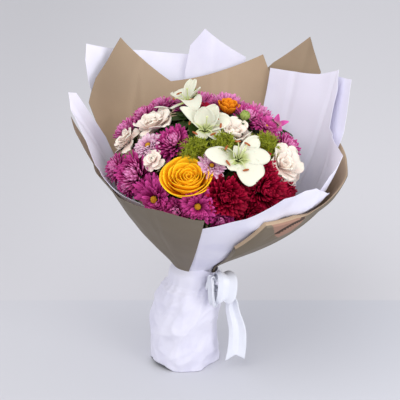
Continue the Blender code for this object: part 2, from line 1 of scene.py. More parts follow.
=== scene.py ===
"""A hand-tied bouquet in a paper wrap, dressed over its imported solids.

Every bloom gets its own petals, the sheets get folds and creases, and the
ribbon gets its gathers. Places and sizes repeat the layout of the solids.
"""

import math
import random

import bmesh
import bpy
from mathutils import Matrix, Vector, noise


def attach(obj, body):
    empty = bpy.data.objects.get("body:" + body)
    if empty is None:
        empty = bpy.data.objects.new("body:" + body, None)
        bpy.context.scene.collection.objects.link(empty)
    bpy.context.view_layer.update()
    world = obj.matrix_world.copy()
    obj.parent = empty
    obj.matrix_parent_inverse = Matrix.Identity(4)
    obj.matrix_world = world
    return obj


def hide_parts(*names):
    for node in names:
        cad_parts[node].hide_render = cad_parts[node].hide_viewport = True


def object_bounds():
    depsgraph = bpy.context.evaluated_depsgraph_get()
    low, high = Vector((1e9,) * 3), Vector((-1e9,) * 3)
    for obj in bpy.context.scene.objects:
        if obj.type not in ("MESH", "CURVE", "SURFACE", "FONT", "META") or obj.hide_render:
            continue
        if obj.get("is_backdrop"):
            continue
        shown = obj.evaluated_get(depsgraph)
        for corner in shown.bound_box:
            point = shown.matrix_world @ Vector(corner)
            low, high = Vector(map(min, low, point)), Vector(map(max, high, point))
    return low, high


bl_info = {
    "name": "Paper Wrapped Bouquet",
    "version": (1, 0, 0),
    "blender": (4, 5, 0),
    "location": "3D View > Sidebar > Bouquet",
    "description": "Builds the blooms, paper and ribbon of a hand-tied bouquet",
    "category": "Object",
}

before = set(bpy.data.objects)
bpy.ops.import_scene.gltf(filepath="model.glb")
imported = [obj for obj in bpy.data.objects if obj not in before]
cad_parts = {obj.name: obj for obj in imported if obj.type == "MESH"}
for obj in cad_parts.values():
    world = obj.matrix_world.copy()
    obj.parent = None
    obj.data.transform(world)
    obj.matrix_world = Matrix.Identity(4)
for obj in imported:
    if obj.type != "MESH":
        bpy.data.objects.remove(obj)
CAD_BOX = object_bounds()

# Dome of blooms, in metres. Blooms are fuller than their solids. They keep a gap
# from the paper, and mingle a little with those within reach.
DOME_CENTRE = Vector((0.026, 0, 0.252))
DOME_TILT = math.radians(15)
DOME_RADIUS = 0.126
DOME_HEIGHT = 0.093
FULLNESS = 1.22
WALL_GAP = 0.0025
MINGLE = 0.003
NEIGHBOUR_REACH = 0.12

# A bloom sinks into the dome by the first share of its height, and its middle
# lies at the second.
BLOOM_SINK = 0.9
BLOOM_MIDDLE = 0.55

# Head of a bloom that lily petals lie on: height of its middle, half width and
# half height, as shares of the bloom's radius.
HEAD_MIDDLE = 0.36
HEAD_WIDTH = 1.22
HEAD_HEIGHT = 0.94
LIFT_STEP = 0.0005

# Paper funnel, in metres. The three tables go once round, anticlockwise from the
# right: radius at the rim, how early the wall spreads, and how late it starts.
# A layer is a step outside the last, and further at the rim.
NECK_Z = 0.128
RIM_Z = 0.3
NECK_RADIUS = 0.022
NECK_X = 0.014
LEAN = 0.012
RIM_RADII = (0.182, 0.16, 0.142, 0.152, 0.16, 0.159, 0.168, 0.198)
FLARES = (3.2, 2.2, 1.5, 0.8, 0.1, 0.25, 1.0, 2.2)
STARTS = (0.2, 0.05, 0.05, 0.05, 0.05, 0.06, 0.12, 0.28)
LAYER_STEP = 0.0016
LAYER_SPREAD = 0.004
SHEET_FOOT_Z = 0.112
SLOPE_STEP = 0.0005

# Stems, in metres. They are packed in rows, spread and turned at the foot and at
# the fork, and bound by tape between. A thin stalk leads from the fork to a bloom.
STEM_RADIUS = 0.0037
STEM_PITCH = 0.0076
ROW_PITCH = 0.866
TAPE_HEIGHTS = (0.116, 0.119, 0.123, 0.126)
TAPE_MIDDLE = (TAPE_HEIGHTS[0] + TAPE_HEIGHTS[-1]) / 2
TAPE_RADIUS = 0.0212
FORK_Z = 0.168
FORK_SPREAD = 1.9
FOOT_SPREAD = 2.1
FOOT_SHIFT = Vector((0.0035, 0, 0))
STEM_TWIST = math.radians(60)
FORK_TWIST = math.radians(-18)
THIN_FROM_Z = 0.12
STALK_RADIUS = 0.0016
STALK_BEND = 0.011
STALK_LEAD = 0.34

# Height of each kind of bloom as a share of its radius.
CROWNS = {
    "mum": 1.08,
    "rose": 1.12,
    "lily": 1.10,
    "ruffle": 1.20,
    "star": 1.10,
    "cup": 1.36,
    "fern": 1.36,
}

# Blooms: name, kind, place on the dome (right, back), radius and lift above
# the dome in metres, and material slot.
BLOOMS = (
    ("mum_01", "mum", -0.063, -0.099, 0.025, 0, "petal_magenta"),
    ("mum_02", "mum", -0.009, -0.116, 0.021, 0, "petal_magenta"),
    ("mum_03", "mum", -0.092, -0.06, 0.026, 0, "petal_magenta"),
    ("mum_04", "mum", -0.114, -0.029, 0.016, 0, "petal_magenta"),
    ("mum_05", "mum", -0.039, -0.04, 0.022, 0, "petal_magenta"),
    ("mum_06", "mum", -0.07, -0.037, 0.016, 0, "petal_pale_pink"),
    ("mum_07", "mum", -0.103, 0.044, 0.02, 0, "petal_magenta"),
    ("mum_08", "mum", -0.08, 0.053, 0.016, 0, "petal_magenta"),
    ("mum_09", "mum", -0.058, 0.076, 0.017, 0, "petal_magenta"),
    ("mum_10", "mum", 0.055, 0.015, 0.019, 0, "petal_magenta"),
    ("mum_11", "mum", 0.076, 0.002, 0.016, 0, "petal_magenta"),
    ("mum_12", "mum", 0.107, -0.005, 0.019, 0, "petal_magenta"),
    ("mum_13", "mum", 0.008, -0.08, 0.015, 0, "petal_pale_pink"),
    ("mum_14", "mum", -0.036, -0.115, 0.016, 0, "petal_magenta"),
    ("mum_15", "mum", 0.02, -0.122, 0.014, -0.002, "petal_magenta"),
    ("mum_16", "mum", -0.101, -0.064, 0.014, -0.004, "petal_magenta"),
    ("mum_17", "mum", -0.016, 0.084, 0.026, -0.004, "petal_magenta"),
    ("mum_18", "mum", 0.03, 0.096, 0.026, -0.004, "petal_magenta"),
    ("mum_19", "mum", 0.074, 0.08, 0.026, -0.004, "petal_magenta"),
    ("crimson_1", "mum", 0.025, -0.108, 0.028, 0.002, "petal_crimson"),
    ("crimson_2", "mum", 0.076, -0.086, 0.028, 0.002, "petal_crimson"),
    ("crimson_3", "mum", 0.067, -0.066, 0.02, 0.002, "petal_crimson"),
    ("crimson_4", "mum", 0.048, -0.089, 0.016, 0, "petal_crimson"),
    ("crimson_5", "mum", 0.102, -0.069, 0.017, 0, "petal_crimson"),
    ("crimson_6", "mum", 0.056, -0.111, 0.018, 0, "petal_crimson"),
    ("crimson_7", "mum", 0.002, 0.012, 0.015, 0, "petal_crimson"),
    ("garden_rose", "rose", -0.023, -0.092, 0.038, 0.006, "petal_rose"),
    ("orange_cup", "cup", 0.029, 0.022, 0.014, 0.004, "petal_orange"),
    ("lily_1", "lily", 0, -0.031, 0.035, 0.009, "petal_white"),
    ("lily_2", "lily", 0.04, -0.068, 0.036, 0.009, "petal_white"),
    ("lily_3", "lily", -0.022, 0.033, 0.03, 0.009, "petal_white"),
    ("ruffle_1", "ruffle", -0.067, 0.006, 0.022, 0.003, "petal_cream"),
    ("ruffle_2", "ruffle", 0.036, -0.026, 0.022, 0.003, "petal_cream"),
    ("ruffle_3", "ruffle", -0.101, 0.004, 0.016, 0.002, "petal_cream"),
    ("ruffle_4", "ruffle", -0.062, -0.062, 0.011, 0.004, "petal_cream"),
    ("ruffle_5", "ruffle", 0.099, -0.042, 0.022, 0.003, "petal_cream"),
    ("ruffle_6", "ruffle", -0.078, 0.092, 0.02, -0.004, "petal_cream"),
    ("star_flower", "star", 0.097, 0.041, 0.019, 0.011, "petal_hot_pink"),
    ("fern_1", "fern", -0.012, -0.06, 0.017, 0.002, "fern_green"),
    ("fern_2", "fern", 0.022, -0.052, 0.016, 0.002, "fern_green"),
    ("fern_3", "fern", 0.073, -0.036, 0.017, 0.002, "fern_green"),
    ("bud_1", "cup", -0.014, 0.05, 0.008, 0.008, "bud_green"),
    ("bud_2", "cup", 0.047, -0.003, 0.009, 0.008, "bud_green"),
)

# Leafy sprigs that close the gaps: right, back, radius and lift in metres.
SPRIGS = (
    (-0.036, -0.004, 0.02, -0.003), (-0.05, 0.034, 0.018, -0.003), (0.016, -0.004, 0.014, -0.003),
    (-0.09, -0.03, 0.016, -0.003), (0.062, -0.028, 0.014, -0.003), (0.07, 0.03, 0.018, -0.003),
    (0.02, 0.056, 0.02, -0.004), (0.056, 0.05, 0.02, -0.004), (0.094, 0.03, 0.016, -0.004),
    (-0.012, 0.05, 0.018, -0.004), (0.086, 0.058, 0.016, -0.004),
)

# How far red, green and blue light spreads inside a petal, in metres.
PETAL_GLOW = (0.004, 0.002, 0.002)

# A petal without room is tilted up by steps, in radians, and then shortened.
PETAL_TRIES = 16
TILT_TRIES = 6
TILT_STEP = 0.13
STEEPEST_LEAN = 1.2
SHORTENING = 0.9

# Turn from one floret of a spiral to the next, in radians.
GOLDEN_TURN = 2.39996

# Chrysanthemums: radius from which one has all its florets, the share of them
# that an open one keeps, and the radius of each open one's disc, in metres. A
# disc's own florets are small lumps.
FULL_MUM_RADIUS = 0.026
OPEN_MUM_SHARE = 0.72
EYES = {"mum_01": 0.0042, "mum_02": 0.0036, "mum_06": 0.003, "mum_13": 0.0022, "mum_11": 0.0026}
FLORET_FOOT = 0.0016
EYE_FLORETS = 46
EYE_FLORET = (0.00075, 0.00075, 0.0011)

# The rose faces further up than its place on the dome. Its folds sit off its
# middle by a share of its radius. Rings: petals, radius, height and flare as
# shares of the rose's radius, and how far neighbours lap.
ROSE_RADIUS = 0.0275
ROSE_AXIS = Vector((-0.06, -0.5, 0.86))
ROSE_SHIFT = Vector((0.16, -0.02, 0))
ROSE_DEPTH = 0.42
ROSE_RINGS = (
    (5, 1.06, 0.3, 0.1, 1.6), (5, 0.93, 0.42, 0.06, 1.5), (4, 0.77, 0.46, 0.04, 1.45),
    (4, 0.62, 0.44, 0.03, 1.45), (4, 0.49, 0.4, 0.01, 1.5), (4, 0.37, 0.35, 0.0, 1.5),
    (3, 0.26, 0.31, 0.0, 1.6), (2, 0.14, 0.29, 0.0, 1.8),
)

# Rings of a ruffled bloom: petals, height of their feet, lean and bend in
# degrees, reach and width. Heights, reaches and widths are shares of the radius.
RUFFLE_RINGS = (
    (4, 0.34, 16, -22, 1.0, 1.2), (4, 0.44, 40, -30, 0.84, 1.0),
    (3, 0.52, 62, -20, 0.6, 0.86), (3, 0.6, 80, 0, 0.38, 0.6),
)

# Rings of a half-open cup, as above. A bud's are five petals each, that lean,
# bend and widen more, so that they close over its top.
CUP_RINGS = (
    (6, 0.22, 34, 40, 1.15, 0.7), (5, 0.3, 56, 24, 1.08, 0.6), (4, 0.4, 72, 10, 0.85, 0.45),
)
BUD_PETALS = 5
BUD_LEAN = 4
BUD_BEND = 38
BUD_WIDTH = 1.6

# The star flower leans out over its neighbours.
STAR_AXIS = Vector((-0.15, -0.7, 0.7))

# Fern tufts: ribs, and the needles at each joint of a rib, in metres.
FERN_RIBS = 30
FERN_RIB_RADIUS = 0.00045
NEEDLES = 6
NEEDLE_LENGTH = 0.0065
NEEDLE_HALF_WIDTH = 0.00065
NEEDLE_WALL = 0.00025

# Leaves: thickness in metres, and how many grow under a bloom. A bloom of up to
# the small radius has fewer.
LEAF_WALL = 0.0004
LEAVES = 6
FEWER_LEAVES = 3
SMALL_BLOOM_RADIUS = 0.013

# Stamens of a lily, in metres: anthers round a knobbed style. Each lily's are
# turned, in radians.
ANTHERS = 6
ANTHER = (0.0044, 0.0014, 0.0013)
STYLE_KNOB = (0.0016, 0.0016, 0.0011)
FILAMENT_RADIUS = 0.0007
FILAMENT_TIP_RADIUS = 0.0006
STYLE_TIP_RADIUS = 0.001
LILY_SPINS = {"lily_1": 0.5, "lily_2": 0.2, "lily_3": 0.9}

# Lily petals: azimuth, lean and bend in degrees, and reach and width as
# shares of the radius. Azimuth 0 is right and 90 is up.
LILY_PETALS = {
    "lily_1": ((150, 50, -26, 0.88, 0.34), (98, 76, -18, 0.64, 0.5), (56, 62, -26, 0.72, 0.48),
               (14, 40, -36, 0.7, 0.44), (252, 14, -30, 0.4, 0.3), (316, 22, -34, 0.52, 0.34)),
    "lily_2": ((172, 12, -22, 0.94, 0.52), (286, -2, -30, 0.84, 0.7), (34, 30, -34, 0.8, 0.38),
               (350, 20, -34, 0.78, 0.5), (112, 62, -20, 0.36, 0.3), (226, 14, -30, 0.48, 0.36)),
    "lily_3": ((182, 22, -28, 0.92, 0.5), (134, 60, -16, 0.8, 0.3), (98, 68, -12, 0.78, 0.24),
               (58, 58, -16, 0.66, 0.3), (264, -8, -24, 1.16, 0.24), (350, 44, -66, 1.24, 0.62)),
}

# Sheets: name, material slot, layer from the inside, span at the neck, and top
# outline as (angle, height). Angles are in degrees anticlockwise from the right,
# heights in metres.
SHEETS = (
    ("paper_white_right", "paper_white", 0, (-36, 60),
     ((-38, 0.237), (-34, 0.262), (-33, 0.284), (-22, 0.297), (14, 0.298), (19, 0.345),
      (24, 0.367), (35, 0.354), (60, 0.35))),
    ("paper_white_left", "paper_white", 0, (153, 240),
     ((153, 0.28), (161, 0.341), (166, 0.345), (184, 0.29), (205, 0.27), (223, 0.254),
      (240, 0.246))),
    ("paper_brown_back", "paper_brown", 1, (55, 158),
     ((61, 0.344), (65, 0.366), (107, 0.331), (128, 0.392), (145, 0.35), (153, 0.325))),
    ("paper_white_far_right", "paper_white", 1, (10, 40),
     ((10, 0.3), (16, 0.361), (30, 0.356), (37, 0.35))),
    ("paper_white_front", "paper_white", 1, (235, 330),
     ((250, 0.23), (272, 0.235), (290, 0.251), (302, 0.279), (316, 0.283), (332, 0.262),
      (335, 0.24))),
    ("paper_brown_back_right", "paper_brown", 2, (35, 64),
     ((38, 0.355), (48, 0.394), (61, 0.356), (63, 0.349))),
    ("paper_white_back", "paper_white", 2, (72, 105),
     ((73, 0.361), (92, 0.397), (98, 0.376), (100, 0.344))),
    ("paper_brown_left", "paper_brown", 2, (160, 248),
     ((165, 0.32), (169, 0.303), (175, 0.268), (200, 0.26), (227, 0.257), (250, 0.262),
      (271, 0.255))),
    ("paper_white_back_left", "paper_white", 3, (96, 146),
     ((97, 0.364), (116, 0.372), (142, 0.393), (144, 0.374), (145, 0.35))),
)

# The sheet with the flap: its rim, the flap's hem, and how many layers the flap
# lifts off at each angle.
FLAP_SHEET = ("paper_brown_right", "paper_brown", 2, (330, 380))
FLAP_RIM = ((291, 0.206), (297, 0.25), (310, 0.253), (320, 0.247), (333, 0.25), (348, 0.27),
            (376, 0.285))
FLAP_HEM = ((291, 0.193), (297, 0.213), (307, 0.233), (314, 0.242), (320, 0.24), (376, 0.282))
FLAP_LIFT = ((291, 2.4), (312, 2.2), (324, 0.7), (376, 0.6))

# Flap rows: all of them, and the one where the rim folds, in a bend this high.
FLAP_ROWS = 64
FOLD_ROW = 34
FOLD_BEND = 0.0012

# Slit in the flap, with painted dark shade in it: its depth in metres, its place down the flap as a
# share of it at one angle and its climb with each degree, its half width down the flap and half the
# part of it that is painted dark, and its middle and half width in degrees. Painted warm shade of
# the fold shows between two angles that draw together down the flap.
SLIT_DEPTH = 0.004
SLIT_DOWN = 0.68
SLIT_DOWN_ANGLE = 301
SLIT_CLIMB = 0.036
SLIT_HALF = 0.16
SLIT_SHADE_HALF = 0.1
SLIT_SPAN = (307, 9)
FOLD_SHADE_ENDS = (298, 317)
FOLD_SHADE_TAPER = (8, -7)

# Sheets: rows, width of a column in degrees, and the fine dents of the paper:
# how many a metre and how deep.
SHEET_ROWS = 34
SHEET_COLUMN = 0.9
FLAP_COLUMN = 0.45
DENT_SCALE = 38
DENT_DEPTH = 0.0009

# Waves that all sheets share: part of the height, waves round, start in radians
# and drift with height.
WAVES = ((0.5, 5, 1.1, 2), (0.3, 9, 0.4, -3), (0.2, 14, 2.0, 4))

# Where a sheet stands off the funnel: distance in metres, angle and half width
# in degrees, height and half height in metres.
STAND_OFF = {
    "paper_white_left": ((-0.007, 182, 26, 0.285, 0.07),),
    "paper_white_right": ((-0.015, -2, 34, 0.305, 0.09),),
    "paper_brown_left": ((0.002, 165, 14, 0.33, 0.1), (-0.009, 203, 34, 0.27, 0.1)),
}

# Fold along the front lip: its height in metres at one angle and its climb with
# each degree, half its width and its depth in metres, and the angle where it
# starts and the degrees over which it deepens.
LIP_FOLD_Z = 0.238
LIP_FOLD_ANGLE = 292
LIP_FOLD_CLIMB = 0.0008
LIP_FOLD_HALF = 0.012
LIP_FOLD_DEPTH = 0.0042
LIP_FOLD_START = 286
LIP_FOLD_GROWTH = 8

# Edges sharper than this stay crisp. The flap's own faces start at this share
# of the sheet's rows.
CRISP_ANGLE = math.radians(50)
FLAP_START = 0.6

# Finishes of a brown sheet's faces, in order. The last two are painted warm shade and painted dark
# shade, in the flap's fold and in its slit.
INSIDE, OUTSIDE, FOLD_SHADE, SLIT_SHADE = range(4)

# The inner paper takes painted light high up at its left and at its right where it is white, and
# painted shade high up at its left where it is brown: where each starts and ends, rightwards and
# upwards, in metres.
LEFT_PAINTED_SHADING = ((-0.11, 0.03), (0.29, 0.34))
RIGHT_PAINTED_LIGHT = ((0.09, 0.17), (0.23, 0.29))

# Opened flat, the funnel is this share of a full turn, and its tip is here.
OPEN_SHARE = 0.62
TIP_Z = 0.11

# Fold lines of the sheets: angle at the neck and at the rim, depth in metres
# and half width in degrees.
CREASES = {
    "paper_brown_back": ((75, 79, 0.001, 2.2), (80, 86, -0.0008, 2.0), (128, 122, 0.0008, 3.0),
                         (152, 128, -0.0014, 2.4)),
    "paper_white_right": ((20, 24, 0.0024, 2.5), (2, 3, -0.0018, 3.0), (44, 47, 0.0016, 3.0),
                          (-20, -19, 0.0014, 3.0)),
    "paper_white_left": ((168, 170, 0.0018, 3.0), (196, 200, -0.0014, 4.0)),
    "paper_white_back": ((88, 88, 0.0012, 3.0),),
    "paper_white_back_left": ((116, 117, 0.0014, 3.0), (132, 134, -0.001, 3.0)),
    "paper_white_front": ((268, 270, 0.0012, 4.0), (290, 314, -0.003, 5.0),
                          (306, 322, 0.0016, 4.0)),
    "paper_brown_left": ((196, 205, 0.0014, 4.0), (236, 248, -0.0012, 4.0)),
    "paper_brown_right": ((330, 335, 0.0016, 4.0),),
    "paper_brown_back_right": ((48, 48, 0.0016, 3.0),),
    "paper_white_far_right": ((22, 24, 0.0016, 3.0),),
}

# Sleeve rings: height, middle (right) and radius, in metres.
SLEEVE_RINGS = (
    (0.0003, 0, 0.043),
    (0.026, -0.001, 0.0435),
    (0.058, 0.001, 0.043),
    (0.086, 0.005, 0.041),
    (0.103, 0.008, 0.037),
    (0.11, 0.011, 0.031),
    (0.113, 0.013, 0.0288),
    (0.1268, 0.014, 0.0288),
)
HEM_LIFT = ((0, 0), (180, 0), (202, 0.007), (236, 0.006), (252, 0), (360, 0))

# In front, round this angle and half width in degrees, the sleeve's top rises and
# folds over the band. Its edge turns in by a depth over a height. In metres.
SLEEVE_FRONT = (232, 105)
SLEEVE_RISE = 0.0085
OVER_BAND_RADIUS = 0.0335
OVER_BAND_LOW = 0.107
OVER_BAND_HALF = 0.02
TURN_IN_Z = 0.127
TURN_IN = (0.004, 0.009)

# Crumples: the height where they end, and the way down to their full depth, in
# metres. Facets: fineness and share. Finer gathers lie under the band.
CRUMPLE_TOP = 0.117
CRUMPLE_GROWTH = 0.02
FACETS = ((0.8, 0.85), (1.9, 0.3))
FACET_SEED = Vector((1.7, 4.1, 0.6))
RIDGE_SEED = Vector((4.2, 1.3, 0.4))
GATHER_DEPTH = 0.0006
GATHER_Z = 0.107
GATHER_HALF = 0.02

# Ribbon's band and knot, in metres.
BAND_RADIUS = 0.0309
BAND_Z = 0.119
BAND_WIDTH = 0.0105
BAND_RIPPLE = 0.0006
BAND_STEPS = 96
KNOT_PLACE = Vector((0.0331, -0.0307, 0.1185))
KNOT_RADII = (0.0012, 0.0042, 0.0062)
KNOT_WIDTH = 0.0115
KNOT_STEPS = 40

# Ribbon paths: (right, back, up) points of the middle line and the visible
# width there, in metres.
BIG_LOOP = (
    ((0.04, -0.024, 0.124), 0.011), ((0.0465, -0.029, 0.1325), 0.017),
    ((0.0525, -0.037, 0.1345), 0.023), ((0.0545, -0.0435, 0.128), 0.0245),
    ((0.054, -0.046, 0.115), 0.0245), ((0.052, -0.0455, 0.104), 0.023),
    ((0.048, -0.043, 0.0985), 0.018), ((0.043, -0.039, 0.103), 0.012),
    ((0.038, -0.034, 0.114), 0.009),
)
SMALL_LOOP = (
    ((0.033, -0.033, 0.122), 0.009), ((0.0335, -0.04, 0.1305), 0.012),
    ((0.034, -0.0445, 0.124), 0.015), ((0.0345, -0.046, 0.11), 0.016),
    ((0.0355, -0.0455, 0.1), 0.015), ((0.037, -0.041, 0.0965), 0.012),
    ((0.037, -0.036, 0.11), 0.009),
)
TAIL = (
    ((0.036, -0.032, 0.117), 0.009), ((0.05, -0.036, 0.107), 0.012),
    ((0.0588, -0.038, 0.0997), 0.0145), ((0.0613, -0.038, 0.0837), 0.0175),
    ((0.0669, -0.038, 0.0596), 0.0215), ((0.0672, -0.038, 0.036), 0.0235),
    ((0.0645, -0.038, 0.0145), 0.025),
)
NOTCH = 0.008
NOTCH_ROWS = 6
PATH_STEPS = 9
RIBBON_COLUMNS = 28

# The gathers start at this phase, in radians, and take up a little more cloth
# than their facets measure.
GATHER_START = 0.7
GATHER_SLACK = 1.03

# Camera and backdrop, in metres, and the lens and sensor in millimetres. The table top turns to
# backdrop between two distances back, and painted shade darkens it towards the left between two
# distances from the right.
CAMERA_TARGET = Vector((0.02, 0, 0.219))
CAMERA_DISTANCE = 1.75
CAMERA_ELEVATION = math.radians(21)
CAMERA_LENS = 126
CAMERA_SENSOR = 36
TABLE_EDGE = (0.171, 0.179)
FLOOR_HALF = 4
PAINTED_SHADE_LEFT = (-0.45, 0.15)

# Lamps: place, aim and size in metres. The sky is a faint blue.
KEY_LAMP = (Vector((-0.6, -1.2, 2.1)), Vector((0, 0, 0.2)), 1.7)
FILL_LAMP = (Vector((1.5, -1.5, 0.7)), Vector((0, 0, 0.15)), 1.3)
SKY_COLOUR = (0.96, 0.97, 1, 1)


def add_object(name, data):
    """New object in the scene."""
    obj = bpy.data.objects.new(name, data)
    bpy.context.scene.collection.objects.link(obj)
    return obj


def colour(name, description, default):
    """Colour property of a finish."""
    return bpy.props.FloatVectorProperty(
        name=name, description=description, default=default, subtype="COLOR", size=3, min=0, max=1)


def length(name, description, default):
    """Length property in metres."""
    return bpy.props.FloatProperty(
        name=name, description=description, default=default, subtype="DISTANCE", unit="LENGTH",
        min=0, precision=5)


class BouquetFlowers(bpy.types.PropertyGroup):
    """Sizes and colours of the blooms and their leaves."""

    petal_wall: length("Petal thickness", "Thickness of a petal", 0.0004)
    florets: bpy.props.IntProperty(
        name="Florets", description="Petals of the largest chrysanthemums", default=210, min=40)
    magenta: colour("Magenta", "Face of a magenta petal", (0.2, 0.001, 0.075))
    magenta_tip: colour("Magenta tip", "Lit end of a magenta petal", (0.64, 0.07, 0.32))
    magenta_back: colour("Magenta back", "Back of a magenta petal", (0.78, 0.3, 0.56))
    pale: colour("Pale pink", "Face of a pale petal", (0.6, 0.2, 0.42))
    pale_tip: colour("Pale tip", "End of a pale petal", (0.86, 0.62, 0.72))
    pale_back: colour("Pale back", "Back of a pale petal", (0.9, 0.8, 0.82))
    crimson: colour("Crimson", "Face of a crimson petal", (0.1, 0.0, 0.007))
    crimson_tip: colour("Crimson tip", "Lit end of a crimson petal", (0.46, 0.003, 0.04))
    crimson_back: colour("Crimson back", "Back of a crimson petal", (0.5, 0.012, 0.06))
    rose: colour("Rose", "Face of a rose petal", (1.0, 0.42, 0.0))
    # The deeper orange at the foot is partly the rose's own colour and partly painted shade in its
    # folds.
    rose_fold: colour("Rose fold", "Foot of a rose petal", (0.84, 0.19, 0.0))
    rose_rim: colour("Rose rim", "Rim of a rose petal", (1.0, 0.6, 0.02))
    orange: colour("Orange", "Face of an orange petal", (0.93, 0.33, 0.01))
    orange_streak: colour("Orange streak", "Streaks of an orange petal", (0.42, 0.05, 0.004))
    lily: colour("Lily", "Face of a lily petal", (0.76, 0.75, 0.62))
    lily_throat: colour("Lily throat", "Foot of a lily petal", (0.5, 0.56, 0.2))
    anther: colour("Anther", "Anthers of the lilies", (0.3, 0.07, 0.01))
    filament: colour("Filament", "Stalks of the anthers", (0.72, 0.76, 0.42))
    filament_shade: colour("Filament shade", "Darker fibres of the stalks", (0.5, 0.56, 0.22))
    cream: colour("Cream", "Face of a ruffled petal", (0.9, 0.84, 0.73))
    blush: colour("Blush", "Tinge of a ruffled petal", (0.86, 0.68, 0.63))
    hot_pink: colour("Hot pink", "Face of a star petal", (0.6, 0.09, 0.34))
    hot_pink_throat: colour("Star throat", "Foot of a star petal", (0.9, 0.72, 0.6))
    eye: colour("Eye", "Yellow disc of an open chrysanthemum", (0.9, 0.47, 0.03))
    fern: colour("Fern", "Fern needles", (0.45, 0.5, 0.02))
    leaf: colour("Leaf", "Leaves and stems", (0.045, 0.085, 0.012))
    bud: colour("Bud", "Green buds", (0.36, 0.44, 0.11))


class BouquetPaper(bpy.types.PropertyGroup):
    """Thickness, folds and colours of the paper."""

    wall: length("Paper thickness", "Thickness of a sheet", 0.00035)
    wave: length("Wave", "Height of the waves that all sheets share at the rim", 0.0028)
    crumple: length("Crumple", "Depth of the crumples of the foot sleeve", 0.0068)
    white: colour("White", "White wrapping paper", (0.76, 0.745, 0.85))
    white_shade: colour("White shade", "Bluer patches of the white paper", (0.66, 0.645, 0.79))
    brown: colour("Brown", "Lit inner face of the brown paper", (0.45, 0.325, 0.21))
    # Painted warm shade in the flap's fold; the slit takes a darker share of it.
    lining: colour("Lining", "Warm shade inside the folded rim", (0.33, 0.18, 0.125))
    # The outer colour is partly the paper's own darker side and partly painted shade; the flap
    # shows it on both its sides.
    brown_outer: colour("Brown outer", "Outer face of the brown paper", (0.165, 0.13, 0.088))


class BouquetRibbon(bpy.types.PropertyGroup):
    """Width and colour of the satin ribbon."""

    width: length("Ribbon width", "Width of the ribbon laid flat", 0.025)
    wall: length("Ribbon thickness", "Thickness of the satin", 0.0003)
    satin: colour("Satin", "Colour of the satin", (0.83, 0.845, 0.92))


class BouquetStage(bpy.types.PropertyGroup):
    """Floor, light and camera."""

    floor: colour("Floor", "Pale table top", (0.6, 0.605, 0.655))
    backdrop: colour("Backdrop", "Grey behind the table", (0.66, 0.65, 0.68))
    sky: bpy.props.FloatProperty(
        name="Sky", description="Strength of the even studio light", default=0.88, min=0)
    key: bpy.props.FloatProperty(
        name="Key light", description="Power of the large light", default=22, min=0,
        subtype="POWER", unit="POWER")
    fill: bpy.props.FloatProperty(
        name="Fill light", description="Power of the front light", default=17, min=0,
        subtype="POWER", unit="POWER")


class Term:
    """A shader value that sums, products and powers can be written with."""

    def __init__(self, finish, socket):
        self.finish = finish
        self.socket = socket

    def math(self, operation, *values):
        """One Math node on these values."""
        return self.finish.node("ShaderNodeMath", {"operation": operation},
                                dict(enumerate(values)))

    def __add__(self, other):
        return self.math("ADD", self, other)

    __radd__ = __add__

    def __mul__(self, other):
        return self.math("MULTIPLY", self, other)

    __rmul__ = __mul__

    def __sub__(self, other):
        return self.math("SUBTRACT", self, other)

    def __rsub__(self, other):
        return self.math("SUBTRACT", other, self)

    def __pow__(self, other):
        return self.math("POWER", self, other)

    def __abs__(self):
        return self.math("ABSOLUTE", self)

    def sine(self):
        """Sine of the value."""
        return self.math("SINE", self)

    def step(self, low, high):
        """0 below low, 1 above high and smooth between."""
        return self.finish.node("ShaderNodeMapRange", {"interpolation_type": "SMOOTHSTEP"},
                                {"Value": self, "From Min": low, "From Max": high})


class Finish:
    """One material and the nodes that make it vary over a piece."""

    def __init__(self, name, **fixed):
        self.material = bpy.data.materials.new(name)
        self.material.use_nodes = True
        self.tree = self.material.node_tree
        self.shader = self.tree.nodes["Principled BSDF"]
        for key, value in fixed.items():
            self.feed(self.shader.inputs[key.replace("_", " ")], value)

    def feed(self, socket, value):
        """Link a term to a socket, or set its value."""
        if isinstance(value, Term):
            self.tree.links.new(value.socket, socket)
        elif hasattr(value, "__len__") and len(value) == 3 and socket.type == "RGBA":
            socket.default_value = (*value, 1)
        else:
            socket.default_value = value

    def node(self, kind, settings=None, sockets=None, output=0):
        """One node: its settings first, then its sockets' values or links."""
        made = self.tree.nodes.new(kind)
        for key, value in (settings or {}).items():
            setattr(made, key, value)
        for key, value in (sockets or {}).items():
            self.feed(made.inputs[key], value)
        return Term(self, made.outputs[output])

    def mix(self, share, first, second):
        """Colour between two."""
        return self.node("ShaderNodeMix", {"data_type": "RGBA"}, {0: share, 6: first, 7: second}, 2)

    def attribute(self, name):
        """Value stored on the mesh."""
        return self.node("ShaderNodeAttribute", {"attribute_name": name}, None, "Fac")

    def place(self, scale=(1, 1, 1)):
        """Place in the piece's own space, drawn out by a scale."""
        at = self.node("ShaderNodeTexCoord", None, None, "Object")
        return self.node("ShaderNodeMapping", None, {"Vector": at, "Scale": scale})

    def noise(self, scale, detail=2.0, stretch=(1, 1, 1)):
        """Soft noise, from 0 to 1."""
        return self.node("ShaderNodeTexNoise", None,
                         {"Vector": self.place(stretch), "Scale": scale, "Detail": detail}, "Fac")

    def axis(self, letter):
        """Distance along X, Y or Z in the piece's own space."""
        return self.node("ShaderNodeSeparateXYZ", None, {0: self.place()}, letter)

    def paint(self, base, height=None, depth=0.0001, strength=0.5, roughness=None):
        """Colour, relief and roughness of the material."""
        self.feed(self.shader.inputs["Base Color"], base)
        if height is not None:
            bump = self.node("ShaderNodeBump", None,
                             {"Strength": strength, "Distance": depth, "Height": height})
            self.feed(self.shader.inputs["Normal"], bump)
        if roughness is not None:
            self.feed(self.shader.inputs["Roughness"], roughness)
        return self


